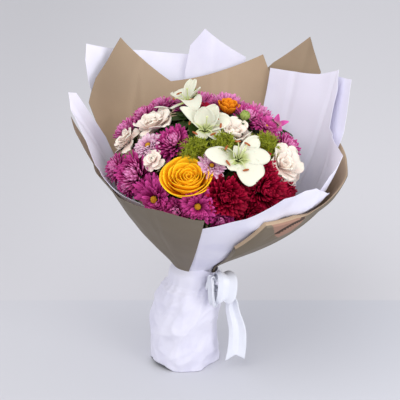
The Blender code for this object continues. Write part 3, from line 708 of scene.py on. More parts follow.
def petal_finish(name, face, tip, streak=0.25, foot=None, reach=0.55, **fixed):
    """Petal that lightens to its end, with fine streaks along it.

    Where a foot is given, its colour fades out over the reach, a share of the petal.
    """
    made = Finish(name, **{"Roughness": 0.55, "Specular_IOR_Level": 0.12,
                           "Subsurface_Weight": 0.12, **fixed})
    made.shader.inputs["Subsurface Radius"].default_value = PETAL_GLOW
    along = made.attribute("along")
    across = made.attribute("across")
    shade = made.attribute("shade")
    grain = made.noise(420, 3)
    vein = (across * 14 + grain * 3).sine() * 0.5 + 0.5
    share = along ** 1.6 * 0.8 + shade * 0.5 + (vein - 0.5) * streak + (grain - 0.5) * 0.3 - 0.15
    base = made.mix(share, face, tip)
    if foot is not None:
        base = made.mix((1 - along.step(0.08, reach)) * 0.9, base, foot)
    return made.paint(base, vein * 0.6 + grain * 0.4, 0.00012, 0.5, grain * 0.2 + 0.42)


def paper_finish(name, light, shade, roughness, left=None, right=None):
    """Paper with soft mottles, fibres and painted highlights along its fold lines.

    Left and right are colours of painted light and shade high up at those sides, where it has any.
    """
    made = Finish(name, Roughness=roughness)
    mottle = made.noise(22, 4)
    fibre = made.noise(900, 3, (1, 1, 0.25))
    crease = made.attribute("crease")
    share = mottle.step(0.35, 0.7) * 0.6 + (fibre - 0.5) * 0.35
    base = made.mix(share, light, shade)
    if left is not None:
        # Painted light on white paper and painted shade on brown paper, high up at the left.
        share = (1 - made.axis("X").step(*LEFT_PAINTED_SHADING[0])) * made.axis("Z").step(*LEFT_PAINTED_SHADING[1])
        base = made.mix(share, base, left)
    if right is not None:
        # Painted light high up at the right.
        share = made.axis("X").step(*RIGHT_PAINTED_LIGHT[0]) * made.axis("Z").step(*RIGHT_PAINTED_LIGHT[1])
        base = made.mix(share, base, right)
    # Painted highlight along the fold lines, as strong as the crease value.
    base = made.mix(crease * 0.12, base, tuple(min(c * 1.25 + 0.02, 1) for c in light))
    return made.paint(base, fibre * 0.5 + mottle, 0.00025, 0.35, mottle * 0.12 + roughness - 0.06)


def satin_finish(name, settings):
    """Satin whose threads run along the ribbon."""
    made = Finish(name, Roughness=0.32, Sheen_Weight=0.25, Sheen_Roughness=0.35)
    across = made.attribute("across")
    along = made.attribute("along")
    thread = (across * 240).sine() * 0.5 + 0.5
    slub = made.noise(160, 2)
    edge = abs(across).step(0.9, 0.97)
    light = settings.satin
    base = made.mix(slub * 0.5 + thread * 0.12 + along * 0.1, light, scaled(light, 0.9))
    base = made.mix(edge * 0.3, base, scaled(light, 0.8))
    return made.paint(base, thread * 0.3 + slub, 0.00006, 0.4, slub * 0.16 + 0.24)


def fibre_finish(name, light, deep, scale):
    """Skin of stems, needles and stamens, with fibres along it."""
    made = Finish(name, Roughness=0.5)
    fibre = made.noise(scale, 3, (1, 1, 0.2))
    shade = made.attribute("shade")
    base = made.mix(fibre.step(0.3, 0.7) * 0.6 + shade * 0.4, deep, light)
    return made.paint(base, fibre, 0.0002, 0.4, fibre * 0.2 + 0.4)


def scaled(colour_value, factor):
    """Colour made lighter or darker."""
    return tuple(min(c * factor, 1) for c in colour_value)


def petal_looks(flowers):
    """Colours of each finish that is made as a petal is."""
    return {
        "petal_magenta": dict(face=flowers.magenta, tip=flowers.magenta_tip),
        "petal_magenta_back": dict(face=flowers.magenta_tip, tip=flowers.magenta_back),
        "petal_pale_pink": dict(face=flowers.pale, tip=flowers.pale_tip, foot=flowers.magenta),
        "petal_pale_pink_back": dict(face=flowers.pale_tip, tip=flowers.pale_back),
        "petal_crimson": dict(face=flowers.crimson, tip=flowers.crimson_tip),
        "petal_crimson_back": dict(face=flowers.crimson_tip, tip=flowers.crimson_back),
        "petal_rose": dict(face=flowers.rose, tip=flowers.rose_rim, streak=0.08,
                           foot=flowers.rose_fold, Subsurface_Weight=0.35),
        "petal_orange": dict(face=flowers.orange_streak, tip=flowers.orange, streak=0.5),
        "petal_white": dict(face=scaled(flowers.lily, 0.92), tip=flowers.lily, streak=0.1,
                            foot=flowers.lily_throat, reach=0.27),
        "petal_cream": dict(face=flowers.blush, tip=flowers.cream, streak=0.15),
        "petal_hot_pink": dict(face=flowers.hot_pink, tip=scaled(flowers.hot_pink, 1.35),
                               streak=0.3, foot=flowers.hot_pink_throat),
        "bud_green": dict(face=scaled(flowers.bud, 0.6), tip=flowers.bud, streak=0.3),
        "leaf_green": dict(face=scaled(flowers.leaf, 0.6), tip=flowers.leaf, streak=0.4),
        "eye": dict(face=scaled(flowers.eye, 0.6), tip=flowers.eye, streak=0.1),
    }


def fibre_looks(flowers):
    """Colours and fineness of each fibrous finish."""
    return {
        "fern_green": dict(light=flowers.fern, deep=scaled(flowers.fern, 0.35), scale=200),
        "stem_green": dict(light=scaled(flowers.leaf, 1.8), deep=flowers.leaf, scale=120),
        "anther": dict(light=scaled(flowers.anther, 1.5), deep=flowers.anther, scale=700),
        "filament": dict(light=flowers.filament, deep=flowers.filament_shade, scale=300),
    }


def paper_looks(paper):
    """Colours and roughness of each side of the papers."""
    # White paper gets painted light high up at both sides, and brown paper painted shade high up at
    # its left.
    painted_light_white = scaled(paper.white, 1.14)
    outer = paper.brown_outer
    return {
        "paper_white": dict(light=paper.white, shade=paper.white_shade, roughness=0.62,
                            left=painted_light_white, right=painted_light_white),
        "paper_brown": dict(light=paper.brown, shade=scaled(paper.brown, 0.88), roughness=0.6,
                            left=scaled(paper.brown, 0.74)),
        "paper_brown_outer": dict(light=outer, shade=scaled(outer, 0.88), roughness=0.6),
        # Painted warm shade in the flap's fold, and painted dark shade in its slit.
        "paper_brown_lining": dict(light=paper.lining, shade=scaled(paper.lining, 0.8),
                                   roughness=0.6),
        "paper_brown_slit": dict(light=scaled(paper.lining, 0.2),
                                 shade=scaled(paper.lining, 0.12), roughness=0.7),
        # Painted shade: this sheet is darker all over than the rest of the brown paper.
        "paper_brown_back_right": dict(light=scaled(paper.brown, 0.74),
                                       shade=scaled(paper.brown, 0.66), roughness=0.6),
    }


FINISHES = {}


def finish(name):
    """Finish of this name, made when it is first asked for."""
    if name not in FINISHES:
        FINISHES[name] = make_finish(name)
    return FINISHES[name]


def make_finish(name):
    """New finish, in the colours of the bouquet's settings."""
    scene = bpy.context.scene
    for maker, looks in ((petal_finish, petal_looks(scene.bouquet_flowers)),
                         (fibre_finish, fibre_looks(scene.bouquet_flowers)),
                         (paper_finish, paper_looks(scene.bouquet_paper))):
        if name in looks:
            return maker(name, **looks[name])
    return satin_finish(name, scene.bouquet_ribbon)


def lerp(pairs, x):
    """Height of a broken line at x."""
    if x <= pairs[0][0]:
        return pairs[0][1]
    for (x0, y0), (x1, y1) in zip(pairs, pairs[1:]):
        if x <= x1:
            return y0 + (y1 - y0) * (x - x0) / (x1 - x0)
    return pairs[-1][1]


def cut_line(corners, angle):
    """Height of a sheet's rim, cut straight from corner to corner while it lay flat."""
    for (a0, z0), (a1, z1) in zip(corners, corners[1:]):
        if angle <= a1 and a1 > a0:
            whole = math.radians(a1 - a0) * OPEN_SHARE
            part = math.radians(max(angle - a0, 0)) * OPEN_SHARE
            ends = math.sin(whole - part) / (z0 - TIP_Z) + math.sin(part) / (z1 - TIP_Z)
            return TIP_Z + math.sin(whole) / ends
    return corners[-1][1]


def columns_of(corners, step):
    """Angles of a sheet's columns, one of them at every corner."""
    angles = [corners[0][0]]
    for (a0, _), (a1, _) in zip(corners, corners[1:]):
        count = max(round((a1 - a0) / step), 1)
        angles += [a0 + (a1 - a0) * k / count for k in range(1, count + 1)]
    return angles


def eased(share):
    """Share that starts and ends gently."""
    return share * share * (3 - 2 * share)


def around(values, angle):
    """Smooth value at an angle of a table that goes once round."""
    turn = (angle % 360) / (360 / len(values))
    i = int(turn)
    share = eased(turn - i)
    return values[i % len(values)] * (1 - share) + values[(i + 1) % len(values)] * share


def up_funnel(z):
    """Height in the funnel, from 0 at the neck to 1 at the mean rim."""
    return max((z - NECK_Z) / (RIM_Z - NECK_Z), 0)


def funnel_radius(angle, z):
    """Radius of the funnel's innermost layer."""
    rise = up_funnel(z)
    if rise <= 0:
        return NECK_RADIUS
    flare = around(FLARES, angle)
    late = rise * rise / (rise + around(STARTS, angle))
    spread = late * (1 + flare) / (1 + flare * late)
    return NECK_RADIUS + (around(RIM_RADII, angle) - NECK_RADIUS) * spread


def funnel_x(z):
    """Place of the funnel's axis, which leans to the right."""
    return NECK_X + LEAN * (z - NECK_Z) / (RIM_Z - NECK_Z)


def funnel_point(angle, z, layer, proud=0.0):
    """Point of one layer of the funnel, raised outwards by proud."""
    low, high = funnel_radius(angle, z - SLOPE_STEP), funnel_radius(angle, z + SLOPE_STEP)
    slope = (high - low) / (2 * SLOPE_STEP)
    norm = math.hypot(1, slope)
    step = layer * (LAYER_STEP + LAYER_SPREAD * up_funnel(z)) + proud
    radius = funnel_radius(angle, z) + step / norm
    turn = math.radians(angle)
    return Vector((funnel_x(z) + radius * math.cos(turn), radius * math.sin(turn),
                   z - step * slope / norm))


class Bloom:
    """Place, axis and room of one bloom on the dome."""

    def __init__(self, row):
        self.name, self.kind, right, back, radius, lift, self.slot = row
        self.size = radius
        self.radius = radius * FULLNESS
        reach = (right * right + back * back) / DOME_RADIUS ** 2
        up = DOME_HEIGHT * math.sqrt(max(1 - reach, 0.02))
        tilt = Matrix.Rotation(DOME_TILT, 3, "X")
        normal = Vector((right / DOME_RADIUS ** 2, back / DOME_RADIUS ** 2, up / DOME_HEIGHT ** 2))
        self.axis = (tilt @ normal).normalized()
        crown = CROWNS[self.kind] * self.radius
        self.foot = (DOME_CENTRE + tilt @ Vector((right, back, up))
                     + self.axis * (lift - crown * BLOOM_SINK))
        self.centre = self.foot + self.axis * crown * BLOOM_MIDDLE
        self.turn = self.axis.to_track_quat("Z", "Y").to_matrix()
        self.rng = random.Random(self.name)
        self.tone = self.rng.uniform(-0.12, 0.12)
        self.planes = []
        self.near = []

    def room(self, others):
        """Planes between this bloom and its neighbours."""
        for other in others:
            away = other.centre - self.centre
            if other is not self and away.length < NEIGHBOUR_REACH:
                part = self.size / (self.size + other.size)
                self.planes.append((away.normalized(), away.length * part + MINGLE))
                if other.kind in ("mum", "ruffle", "rose"):
                    self.near.append(other)

    def place(self, azimuth, out, side, up):
        """Point from distances outwards, sideways and along the axis."""
        c, s = math.cos(azimuth), math.sin(azimuth)
        return self.foot + self.turn @ Vector((c * out + s * side, s * out - c * side, up))

    def holds(self, point):
        """Whether a point lies in the head of this bloom."""
        away = point - self.foot - self.axis * HEAD_MIDDLE * self.radius
        along = away.dot(self.axis)
        across = (away - self.axis * along).length
        return math.hypot(across / HEAD_WIDTH, along / HEAD_HEIGHT) < self.radius

    def above(self, point, share):
        """The point lifted by a share of its way on top of the blooms beside this one."""
        lifted = point
        while any(other.holds(lifted) for other in self.near):
            lifted = lifted + self.axis * LIFT_STEP
        return point.lerp(lifted, share)

    def clear(self, point):
        """Whether a point lies in the bloom's room and inside the funnel."""
        away = point - self.centre
        if any(away.dot(normal) > limit for normal, limit in self.planes):
            return False
        right = point.x - funnel_x(point.z)
        angle = math.degrees(math.atan2(point.y, right))
        return math.hypot(right, point.y) < funnel_radius(angle, point.z) - WALL_GAP


def all_blooms():
    """Every bloom with its room worked out."""
    blooms = [Bloom(row) for row in BLOOMS]
    for bloom in blooms:
        bloom.room(blooms)
    return blooms


class Skin:
    """Mesh that gathers many small surfaces, with the values its finish reads."""

    def __init__(self):
        self.bm = bmesh.new()
        layers = self.bm.verts.layers.float
        self.layers = [layers.new(name) for name in ("along", "across", "shade", "crease")]

    def surface(self, shape, rows, columns, shade=0.5, crease=None):
        """One surface whose point at (along 0 to 1, across -1 to 1) is shape's."""
        made = bmesh.ops.create_grid(self.bm, x_segments=columns, y_segments=rows, size=0.5)
        along_layer, across_layer, shade_layer, crease_layer = self.layers
        for v in made["verts"]:
            along, across = v.co.y + 0.5, v.co.x * 2
            v.co = shape(along, across)
            v[along_layer] = along
            v[across_layer] = across
            v[shade_layer] = shade
            if crease:
                v[crease_layer] = crease(along, across)
        return made["verts"]

    def tube(self, line, radii, sides, shade=0.5, flat_ends=False):
        """Closed tube of round section along a line of points."""
        frames = line_frames(line, flat_ends)
        count = len(line) - 1

        def shape(along, across):
            i = round(along * count)
            right, front = frames[i]
            turn = math.pi * across
            return line[i] + (right * math.cos(turn) + front * math.sin(turn)) * radii[i]

        verts = self.surface(shape, count, sides, shade)
        bmesh.ops.remove_doubles(self.bm, verts=verts, dist=1e-6)
        verts = [v for v in verts if v.is_valid]
        rim = list({e for v in verts for e in v.link_edges if e.is_boundary})
        bmesh.ops.holes_fill(self.bm, edges=rim, sides=sides + 1)
        bmesh.ops.recalc_face_normals(
            self.bm, faces=list({f for v in verts for f in v.link_faces}))

    def ball(self, place, size, shade=0.5, finish_index=0, detail=1, turn=None):
        """Small rounded lump."""
        matrix = Matrix.Translation(place)
        if turn is not None:
            matrix = matrix @ turn.to_4x4()
        matrix = matrix @ Matrix.Diagonal((*size, 1))
        made = bmesh.ops.create_icosphere(self.bm, subdivisions=detail, radius=1, matrix=matrix)
        for v in made["verts"]:
            v[self.layers[2]] = shade
        for face in {f for v in made["verts"] for f in v.link_faces}:
            face.material_index = finish_index


def line_frames(line, flat_ends=False):
    """Directions across a line of points, turned as little as may be."""
    frames = []
    right = None
    for i in range(len(line)):
        along = (line[min(i + 1, len(line) - 1)] - line[max(i - 1, 0)]).normalized()
        if flat_ends and i in (0, len(line) - 1):
            along = Vector((0, 0, 1))
        right = along.orthogonal() if right is None else right - along * right.dot(along)
        right.normalize()
        frames.append((right.copy(), along.cross(right)))
    return frames


def smooth_line(points, steps):
    """Points of a smooth line through the given ones."""
    padded = [points[0] * 2 - points[1], *points, points[-1] * 2 - points[-2]]
    out = []
    for a, b, c, d in zip(padded, padded[1:], padded[2:], padded[3:]):
        for k in range(steps):
            t = k / steps
            out.append(0.5 * (2 * b + (c - a) * t + (2 * a - 5 * b + 4 * c - d) * t * t
                              + (3 * b - a - 3 * c + d) * t ** 3))
    return out + [points[-1]]


def piece(name, skin, finishes, slot, replaced=(), wall=0.0, backs=0, offset=-1.0, sharp=None):
    """Turn a gathered mesh into a finished piece that rides on the bouquet.

    A wall goes inwards, or with offset 0 to both sides, and its back takes the
    finish that is backs further on. Edges over the angle sharp stay crisp.
    """
    mesh = bpy.data.meshes.new(name)
    skin.bm.to_mesh(mesh)
    skin.bm.free()
    mesh.shade_smooth()
    if sharp is not None:
        mesh.set_sharp_from_angle(angle=sharp)
    for made in finishes:
        mesh.materials.append(finish(made).material)
    obj = add_object(name, mesh)
    if wall:
        solid = obj.modifiers.new("wall", "SOLIDIFY")
        solid.thickness = wall
        solid.offset = offset
        solid.material_offset = backs
    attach(obj, "root")
    if replaced:
        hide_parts(*replaced)
    return obj


def bloom_piece(bloom, skin, pale_backs=False, part="_bloom"):
    """Turn a bloom's petals into the piece that stands for its solid."""
    finishes = (bloom.slot, bloom.slot + "_back") if pale_backs else (bloom.slot,)
    wall = NEEDLE_WALL if bloom.kind == "fern" else bpy.context.scene.bouquet_flowers.petal_wall
    piece(bloom.name + part, skin, finishes, bloom.slot, (bloom.name,), wall, int(pale_backs))


def middle_line(root, lean, bend, reach, rows):
    """Distance out, height and lean along a petal's middle line."""
    out, up = root
    step = reach / rows
    line = []
    for i in range(rows + 1):
        t = i / rows
        line.append((out, up, lean + bend[0] * t + bend[1] * t * t))
        t += 0.5 / rows
        at = lean + bend[0] * t + bend[1] * t * t
        out += math.cos(at) * step
        up += math.sin(at) * step
    return line


def strap(t):
    """Outline of a chrysanthemum floret: narrow foot and rounded end."""
    end = math.sqrt(max(1 - (max(t - 0.62, 0) / 0.4) ** 2, 0.02))
    return (0.42 + 0.58 * min(t / 0.6, 1)) * end


def pointed(t):
    """Outline of a pointed petal or leaf."""
    return max(math.sin(math.pi * t ** 0.8) ** 0.75, 0.1 if t < 0.5 else 0.03)


def broad_tip(t):
    """Outline of a broad petal that ends in a blunt point."""
    return max(math.sin(math.pi * (0.1 + 0.9 * t) ** 1.15) ** 0.62, 0.1)


def broad(t):
    """Outline of a broad rounded petal."""
    end = math.sqrt(max(1 - (max(t - 0.7, 0) / 0.33) ** 2, 0.12))
    return (0.35 + 0.65 * min(t / 0.65, 1)) * end


def petal(skin, bloom, azimuth, root, lean, bend, reach, width, outline=strap, cup=0.4, rows=6,
          columns=2, ruffle=0.0, waves=3.0, twist=0.0, shade=0.5, fitted=True, draped=False):
    """One petal. A fitted one is tilted up and then shortened until there is room for it.

    A draped one lies on top of the blooms beside its own.
    """
    for attempt in range(PETAL_TRIES if fitted else 1):
        line = middle_line(root, lean, bend, reach, rows)
        ends = [bloom.place(azimuth, line[i][0], 0, line[i][1]) for i in (rows // 2, rows)]
        if all(bloom.clear(p) for p in ends):
            break
        if attempt < TILT_TRIES and lean < STEEPEST_LEAN:
            lean += TILT_STEP
        else:
            reach *= SHORTENING
    phase = bloom.rng.uniform(0, math.tau)

    def shape(along, across):
        out, up, tilt = line[round(along * rows)]
        half = width / 2 * outline(along)
        lift = cup * half * across * across + twist * across * half * along
        lift += ruffle * along * abs(across) ** 0.7 * math.sin(across * waves * math.pi + phase)
        lift += ruffle * 0.6 * along ** 2 * math.sin(along * 7 + phase)
        point = bloom.place(azimuth, out - math.sin(tilt) * lift, across * half,
                            up + math.cos(tilt) * lift)
        return bloom.above(point, min(along * 5, 1)) if draped else point

    return skin.surface(shape, rows, columns, shade)


def open_floret(bloom, inward, eye):
    """Root, lean, curl and reach of a floret that lies round an open bloom's disc."""
    big = bloom.radius
    lean = math.radians(-8 + 62 * inward ** 1.3 + bloom.rng.uniform(-7, 7))
    far = big * (1.06 - 0.4 * inward)
    start = eye * 0.9 + (1 - inward) * 0.16 * big
    reach = (far - start) * bloom.rng.uniform(0.86, 1.1)
    return (start, 0.66 * big), lean, 0.5 - 0.2 * inward, reach


def closed_floret(bloom, inward, dark):
    """Root, lean, curl and reach of a floret of a bloom with no disc."""
    big = bloom.radius
    rng = bloom.rng
    lean = math.radians(-14 + 98 * inward ** 0.9 + rng.uniform(-9, 9))
    far = math.hypot(math.cos(lean), (0.66 if dark else 0.8) * math.sin(lean)) * big
    start = 0.2 + 0.1 * (1 - inward)
    root = (math.cos(lean) * start * big, (0.36 + math.sin(lean) * start) * big)
    curl = (0.6 - 0.9 * inward if dark else 0.75 - 1.7 * inward) + rng.uniform(-0.3, 0.3)
    return root, lean, curl, (far - start * big) * rng.uniform(0.84, 1.12)


def mum(bloom, eye=0.0):
    """Chrysanthemum: florets in a spiral, from drooping outer to upright inner ones.

    One with an eye is open, so it has fewer florets, which lie flatter round the disc.
    """
    skin = Skin()
    rng = bloom.rng
    dark = bloom.slot == "petal_crimson"
    florets = bpy.context.scene.bouquet_flowers.florets
    count = int(florets * (0.5 + 0.5 * min(bloom.size / FULL_MUM_RADIUS, 1)))
    if eye:
        count = int(count * OPEN_MUM_SHARE)
    for k in range(count):
        inward = (k + 0.5) / count
        azimuth = k * GOLDEN_TURN + rng.uniform(-0.16, 0.16)
        if eye:
            root, lean, curl, reach = open_floret(bloom, inward, eye)
        else:
            root, lean, curl, reach = closed_floret(bloom, inward, dark)
        # Crimson florets darken towards the middle: painted shade in the sunken centre.
        shade = 0.55 - 0.5 * inward if dark else 0.3 + 0.3 * inward
        petal(skin, bloom, azimuth, root, lean + curl * 0.35, (-curl, 0.35), reach,
              FLORET_FOOT + bloom.radius * rng.uniform(0.066, 0.094), cup=0.6, rows=5,
              twist=rng.uniform(-0.5, 0.5), shade=shade + bloom.tone + rng.uniform(-0.6, 0.6))
    bloom_piece(bloom, skin, pale_backs=True)
    if eye:
        mum_eye(bloom, eye)


def mum_eye(bloom, size):
    """Domed yellow disc of tiny florets in an open chrysanthemum."""
    skin = Skin()
    for k in range(EYE_FLORETS):
        out = size * math.sqrt((k + 0.5) / EYE_FLORETS)
        up = bloom.radius * 0.78 + size * 0.6 * (1 - (out / size) ** 2)
        skin.ball(bloom.place(k * GOLDEN_TURN, out, 0, up), EYE_FLORET,
                  bloom.rng.uniform(0.2, 1), turn=bloom.turn)
    piece(bloom.name + "_eye", skin, ("eye",), bloom.slot)


def garden_rose(bloom):
    """Open rose: rings of cupped petals round folds that sit off its middle."""
    skin = Skin()
    rng = bloom.rng
    big = ROSE_RADIUS
    heart = bloom.foot + bloom.axis * bloom.radius * 0.72
    turn = ROSE_AXIS.normalized().to_track_quat("Z", "Y").to_matrix()
    for ring, (count, wide, high, flare, lap) in enumerate(ROSE_RINGS):
        shift = ROSE_SHIFT * big * (1 - wide)
        for i in range(count):
            middle = (i + 0.45 * ring + rng.uniform(-0.14, 0.14)) * math.tau / count
            span = math.pi / count * lap
            rim = (high + rng.uniform(-0.06, 0.06)) * big
            size = wide * big * rng.uniform(0.93, 1.03)
            phase = rng.uniform(0, math.tau)
            spiral = rng.uniform(0.02, 0.05)

            def shape(along, across):
                bowl = 0.36 + 0.64 * math.sin(along * math.pi / 2) ** 0.8
                edge = max(along - 0.72, 0) / 0.28
                out = size * bowl * (1 + spiral * across) + flare * big * edge ** 2
                out += 0.02 * big * math.sin(across * 4 + phase) * along
                out -= 0.12 * size * across ** 4 * along
                up = -ROSE_DEPTH * big + (rim + ROSE_DEPTH * big) * along ** 1.15
                up -= flare * big * 0.5 * edge ** 3 + 0.26 * big * across ** 2 * along
                up += 0.018 * big * math.sin(across * 7 + phase) * along ** 3
                turned = middle + across * span
                point = Vector((math.cos(turned) * out, math.sin(turned) * out, up))
                return heart + turn @ (point + shift)

            skin.surface(shape, 10, 14, 0.5 + rng.uniform(-0.3, 0.3))
    bloom_piece(bloom, skin)


def lily(bloom, spin):
    """Lily: six broad recurved petals with green throats, stamens and a style."""
    skin = Skin()
    rng = bloom.rng
    big = bloom.radius
    for azimuth, lean, bend, reach, width in LILY_PETALS[bloom.name]:
        petal(skin, bloom, math.radians(azimuth), (0.08 * big, 0.68 * big), math.radians(lean),
              (math.radians(bend), math.radians(bend * 0.35)), big * reach, big * width * 1.15,
              outline=broad_tip, cup=0.42, rows=14, columns=8, ruffle=0.035 * big, waves=1.6,
              twist=rng.uniform(-0.5, 0.5), shade=rng.uniform(0.3, 0.8), fitted=False,
              draped=True)
    bloom_piece(bloom, skin)
    stamens(bloom, spin)


def stamens(bloom, spin):
    """Curved filaments with rust anthers round a pale style."""
    skin = Skin()
    big = bloom.radius
    for i in range(ANTHERS + 1):
        azimuth = spin + 0.4 + i * math.tau / ANTHERS + bloom.rng.uniform(-0.3, 0.3)
        style = i == ANTHERS
        lean = math.radians(88 if style else 74)
        bend = (math.radians(-4 if style else -80), math.radians(0 if style else -10))
        reach = big * (0.5 if style else 0.52)
        line = middle_line((0.03 * big, 0.66 * big), lean, bend, reach, 6)
        points = [bloom.place(azimuth, out, 0, up) for out, up, _ in line]
        tip = STYLE_TIP_RADIUS if style else FILAMENT_TIP_RADIUS
        skin.tube(points, [FILAMENT_RADIUS] * (len(points) - 1) + [tip], 6)
        if style:
            skin.ball(points[-1], STYLE_KNOB, 0.6, detail=2, turn=bloom.turn)
        else:
            turn = bloom.turn @ Matrix.Rotation(azimuth + math.pi / 2, 3, "Z")
            skin.ball(points[-1], ANTHER, 0.4, finish_index=1, detail=2, turn=turn)
    piece(bloom.name + "_stamens", skin, ("filament", "anther"), bloom.slot)


def ruffle(bloom):
    """Ruffled bloom: rings of broad waved petals."""
    skin = Skin()
    rng = bloom.rng
    big = bloom.radius
    for ring, (count, base, lean, bend, reach, width) in enumerate(RUFFLE_RINGS):
        for i in range(count):
            azimuth = (i + 0.5 * ring + rng.uniform(-0.22, 0.22)) * math.tau / count
            petal(skin, bloom, azimuth, (0.1 * big, base * big),
                  math.radians(lean + rng.uniform(-10, 10)), (math.radians(bend), 0),
                  reach * big * rng.uniform(0.84, 1.12), width * big * rng.uniform(0.85, 1.1),
                  outline=broad, cup=0.3, rows=9, columns=8, ruffle=0.08 * big,
                  waves=rng.uniform(1.2, 2.4), twist=rng.uniform(-0.4, 0.4),
                  shade=rng.uniform(0.15, 0.85) + bloom.tone)
    bloom_piece(bloom, skin)


def star(bloom):
    """Star flower: six pointed petals round a pale throat of narrow ones."""
    skin = Skin()
    big = bloom.radius
    bloom.turn = STAR_AXIS.to_track_quat("Z", "Y").to_matrix()
    for i in range(6):
        inner = i % 2
        petal(skin, bloom, 0.3 + i * math.tau / 6, (0.06 * big, 0.3 * big),
              math.radians(40 + 12 * inner), (math.radians(-26), math.radians(-10)),
              big * (0.78 - 0.1 * inner), big * 0.34, outline=pointed, rows=10, columns=4,
              ruffle=0.03 * big, waves=2, twist=0.1, fitted=False)
    for i in range(6):
        petal(skin, bloom, 0.7 + i * math.tau / 6, (0.02 * big, 0.34 * big), math.radians(80),
              (math.radians(-10), 0), big * 0.45, big * 0.07, outline=pointed, cup=0.2, rows=4,
              columns=1, shade=0.9, fitted=False)
    bloom_piece(bloom, skin)


def cup(bloom):
    """Half-open bloom or bud: rings of upright petals."""
    skin = Skin()
    big = bloom.radius
    bud = bloom.slot == "bud_green"
    for ring, (count, base, lean, bend, reach, width) in enumerate(CUP_RINGS):
        if bud:
            count = BUD_PETALS
            lean, bend, width = lean + BUD_LEAN, bend + BUD_BEND, width * BUD_WIDTH
        for i in range(count):
            azimuth = (i + 0.5 * ring) * math.tau / count
            petal(skin, bloom, azimuth, (0.14 * big, base * big), math.radians(lean),
                  (math.radians(bend), 0), reach * big, width * big, outline=broad, cup=0.45,
                  rows=8, columns=5, ruffle=0.03 * big, waves=2, shade=0.3 + 0.2 * ring,
                  fitted=False)
    bloom_piece(bloom, skin)


def fern(bloom):
    """Fern tuft: thin ribs that carry rows of fine needles."""
    skin = Skin()
    rng = bloom.rng
    big = bloom.radius
    for k in range(FERN_RIBS):
        inward = (k + 0.5) / FERN_RIBS
        lean = math.radians(5 + 80 * inward + rng.uniform(-6, 6))
        line = middle_line((0.1 * big, (0.45 + 0.4 * inward) * big), lean,
                           (math.radians(-18), 0),
                           big * rng.uniform(0.8, 1.0) * (1 - 0.2 * inward), 8)
        points = [bloom.place(k * GOLDEN_TURN, out, 0, up) for out, up, _ in line]
        while not bloom.clear(points[-1]) and len(points) > 3:
            points.pop()
        skin.tube(points, [FERN_RIB_RADIUS] * len(points), 4, 0.3)
        for low, high in zip(points, points[1:]):
            for _ in range(NEEDLES):
                needle(skin, rng, low, high)
    bloom_piece(bloom, skin, part="_tuft")


def needle(skin, rng, low, high):
    """One flat needle that leans outwards from a rib, between two of its points."""
    along = (high - low).normalized()
    turn = Vector([rng.gauss(0, 1) for _ in range(3)]).normalized()
    way = (along * 0.8 + turn).normalized()
    side = way.cross(turn.orthogonal()).normalized()
    base = high.lerp(low, rng.random())
    size = NEEDLE_LENGTH * rng.uniform(0.7, 1.2)

    def shape(share, across):
        return base + way * size * share + side * across * NEEDLE_HALF_WIDTH * (1.1 - share)

    skin.surface(shape, 2, 1, rng.uniform(0.1, 1))


def hex_places():
    """Nineteen stem places in the neck, closely packed about the middle."""
    places = []
    for a in range(-2, 3):
        for b in range(-2, 3):
            if abs(a + b) <= 2:
                places.append(Vector(((a + b / 2) * STEM_PITCH, b * STEM_PITCH * ROW_PITCH, 0)))
    return sorted(places, key=lambda place: place.length)


def stems(blooms):
    """Round stems crossing in the taped neck, with a thin fork to each bloom."""
    skin = Skin()
    foot_turn = Matrix.Rotation(STEM_TWIST, 3, "Z")
    fork_turn = Matrix.Rotation(FORK_TWIST, 3, "Z")
    rng = random.Random("stems")
    forks = []
    places = hex_places()
    for place in places:
        low = foot_turn @ place * FOOT_SPREAD + FOOT_SHIFT * place.length / places[-1].length
        neck = Vector((funnel_x(TAPE_MIDDLE), 0, TAPE_MIDDLE)) + place
        fork = Vector((funnel_x(FORK_Z), 0, FORK_Z)) + fork_turn @ place * FORK_SPREAD
        line = smooth_line([low, low.lerp(neck, 0.5), neck, fork], 6)
        radii = [STEM_RADIUS * (1 - 0.2 * max(p.z - THIN_FROM_Z, 0) / 0.05) for p in line]
        skin.tube(line, radii, 14, rng.uniform(0.2, 0.9), flat_ends=True)
        forks.append(fork)
    hub = Vector((funnel_x(FORK_Z), 0, FORK_Z))
    for bloom in blooms:
        lead = Vector((bloom.foot.x - hub.x, bloom.foot.y - hub.y, 0)) * STALK_LEAD
        fork = min(forks, key=lambda place: (place - hub - lead).length)
        bend = bloom.foot - bloom.axis * STALK_BEND
        end = bloom.foot + bloom.axis * bloom.radius * 0.3
        line = smooth_line([fork, fork.lerp(bend, 0.5), bend, end], 4)
        skin.tube(line, [STALK_RADIUS] * len(line), 8, rng.uniform(0.3, 1))
    tape = [Vector((funnel_x(z), 0, z)) for z in TAPE_HEIGHTS]
    skin.tube(tape, [TAPE_RADIUS] * len(tape), 32, 0.2, flat_ends=True)
    piece("stems_and_tape", skin, ("stem_green",), "stem_green", ("stem_bundle",))


def leaves(blooms):
    """Pointed dark leaves under every bloom, filling the gaps between them."""
    skin = Skin()
    rng = random.Random("leaves")
    sprigs = [Bloom(("sprig", "fern", *place, "stem_green")) for place in SPRIGS]
    for bloom in blooms + sprigs:
        big = bloom.radius
        count = LEAVES if bloom.size > SMALL_BLOOM_RADIUS else FEWER_LEAVES
        for i in range(count):
            azimuth = (i + rng.uniform(-0.3, 0.3)) * math.tau / count
            leaf = petal(skin, bloom, azimuth, (0.05 * big, rng.uniform(0.0, 0.2) * big),
                         math.radians(rng.uniform(0, 26)), (math.radians(-14), 0),
                         big * rng.uniform(0.85, 1.08), big * rng.uniform(0.42, 0.6),
                         outline=pointed, cup=0.2, rows=8, columns=4, ruffle=0.02 * big, waves=2,
                         shade=rng.random(), fitted=False)
            draw_inside(leaf)
    piece("leaves", skin, ("leaf_green",), "stem_green", (), LEAF_WALL)


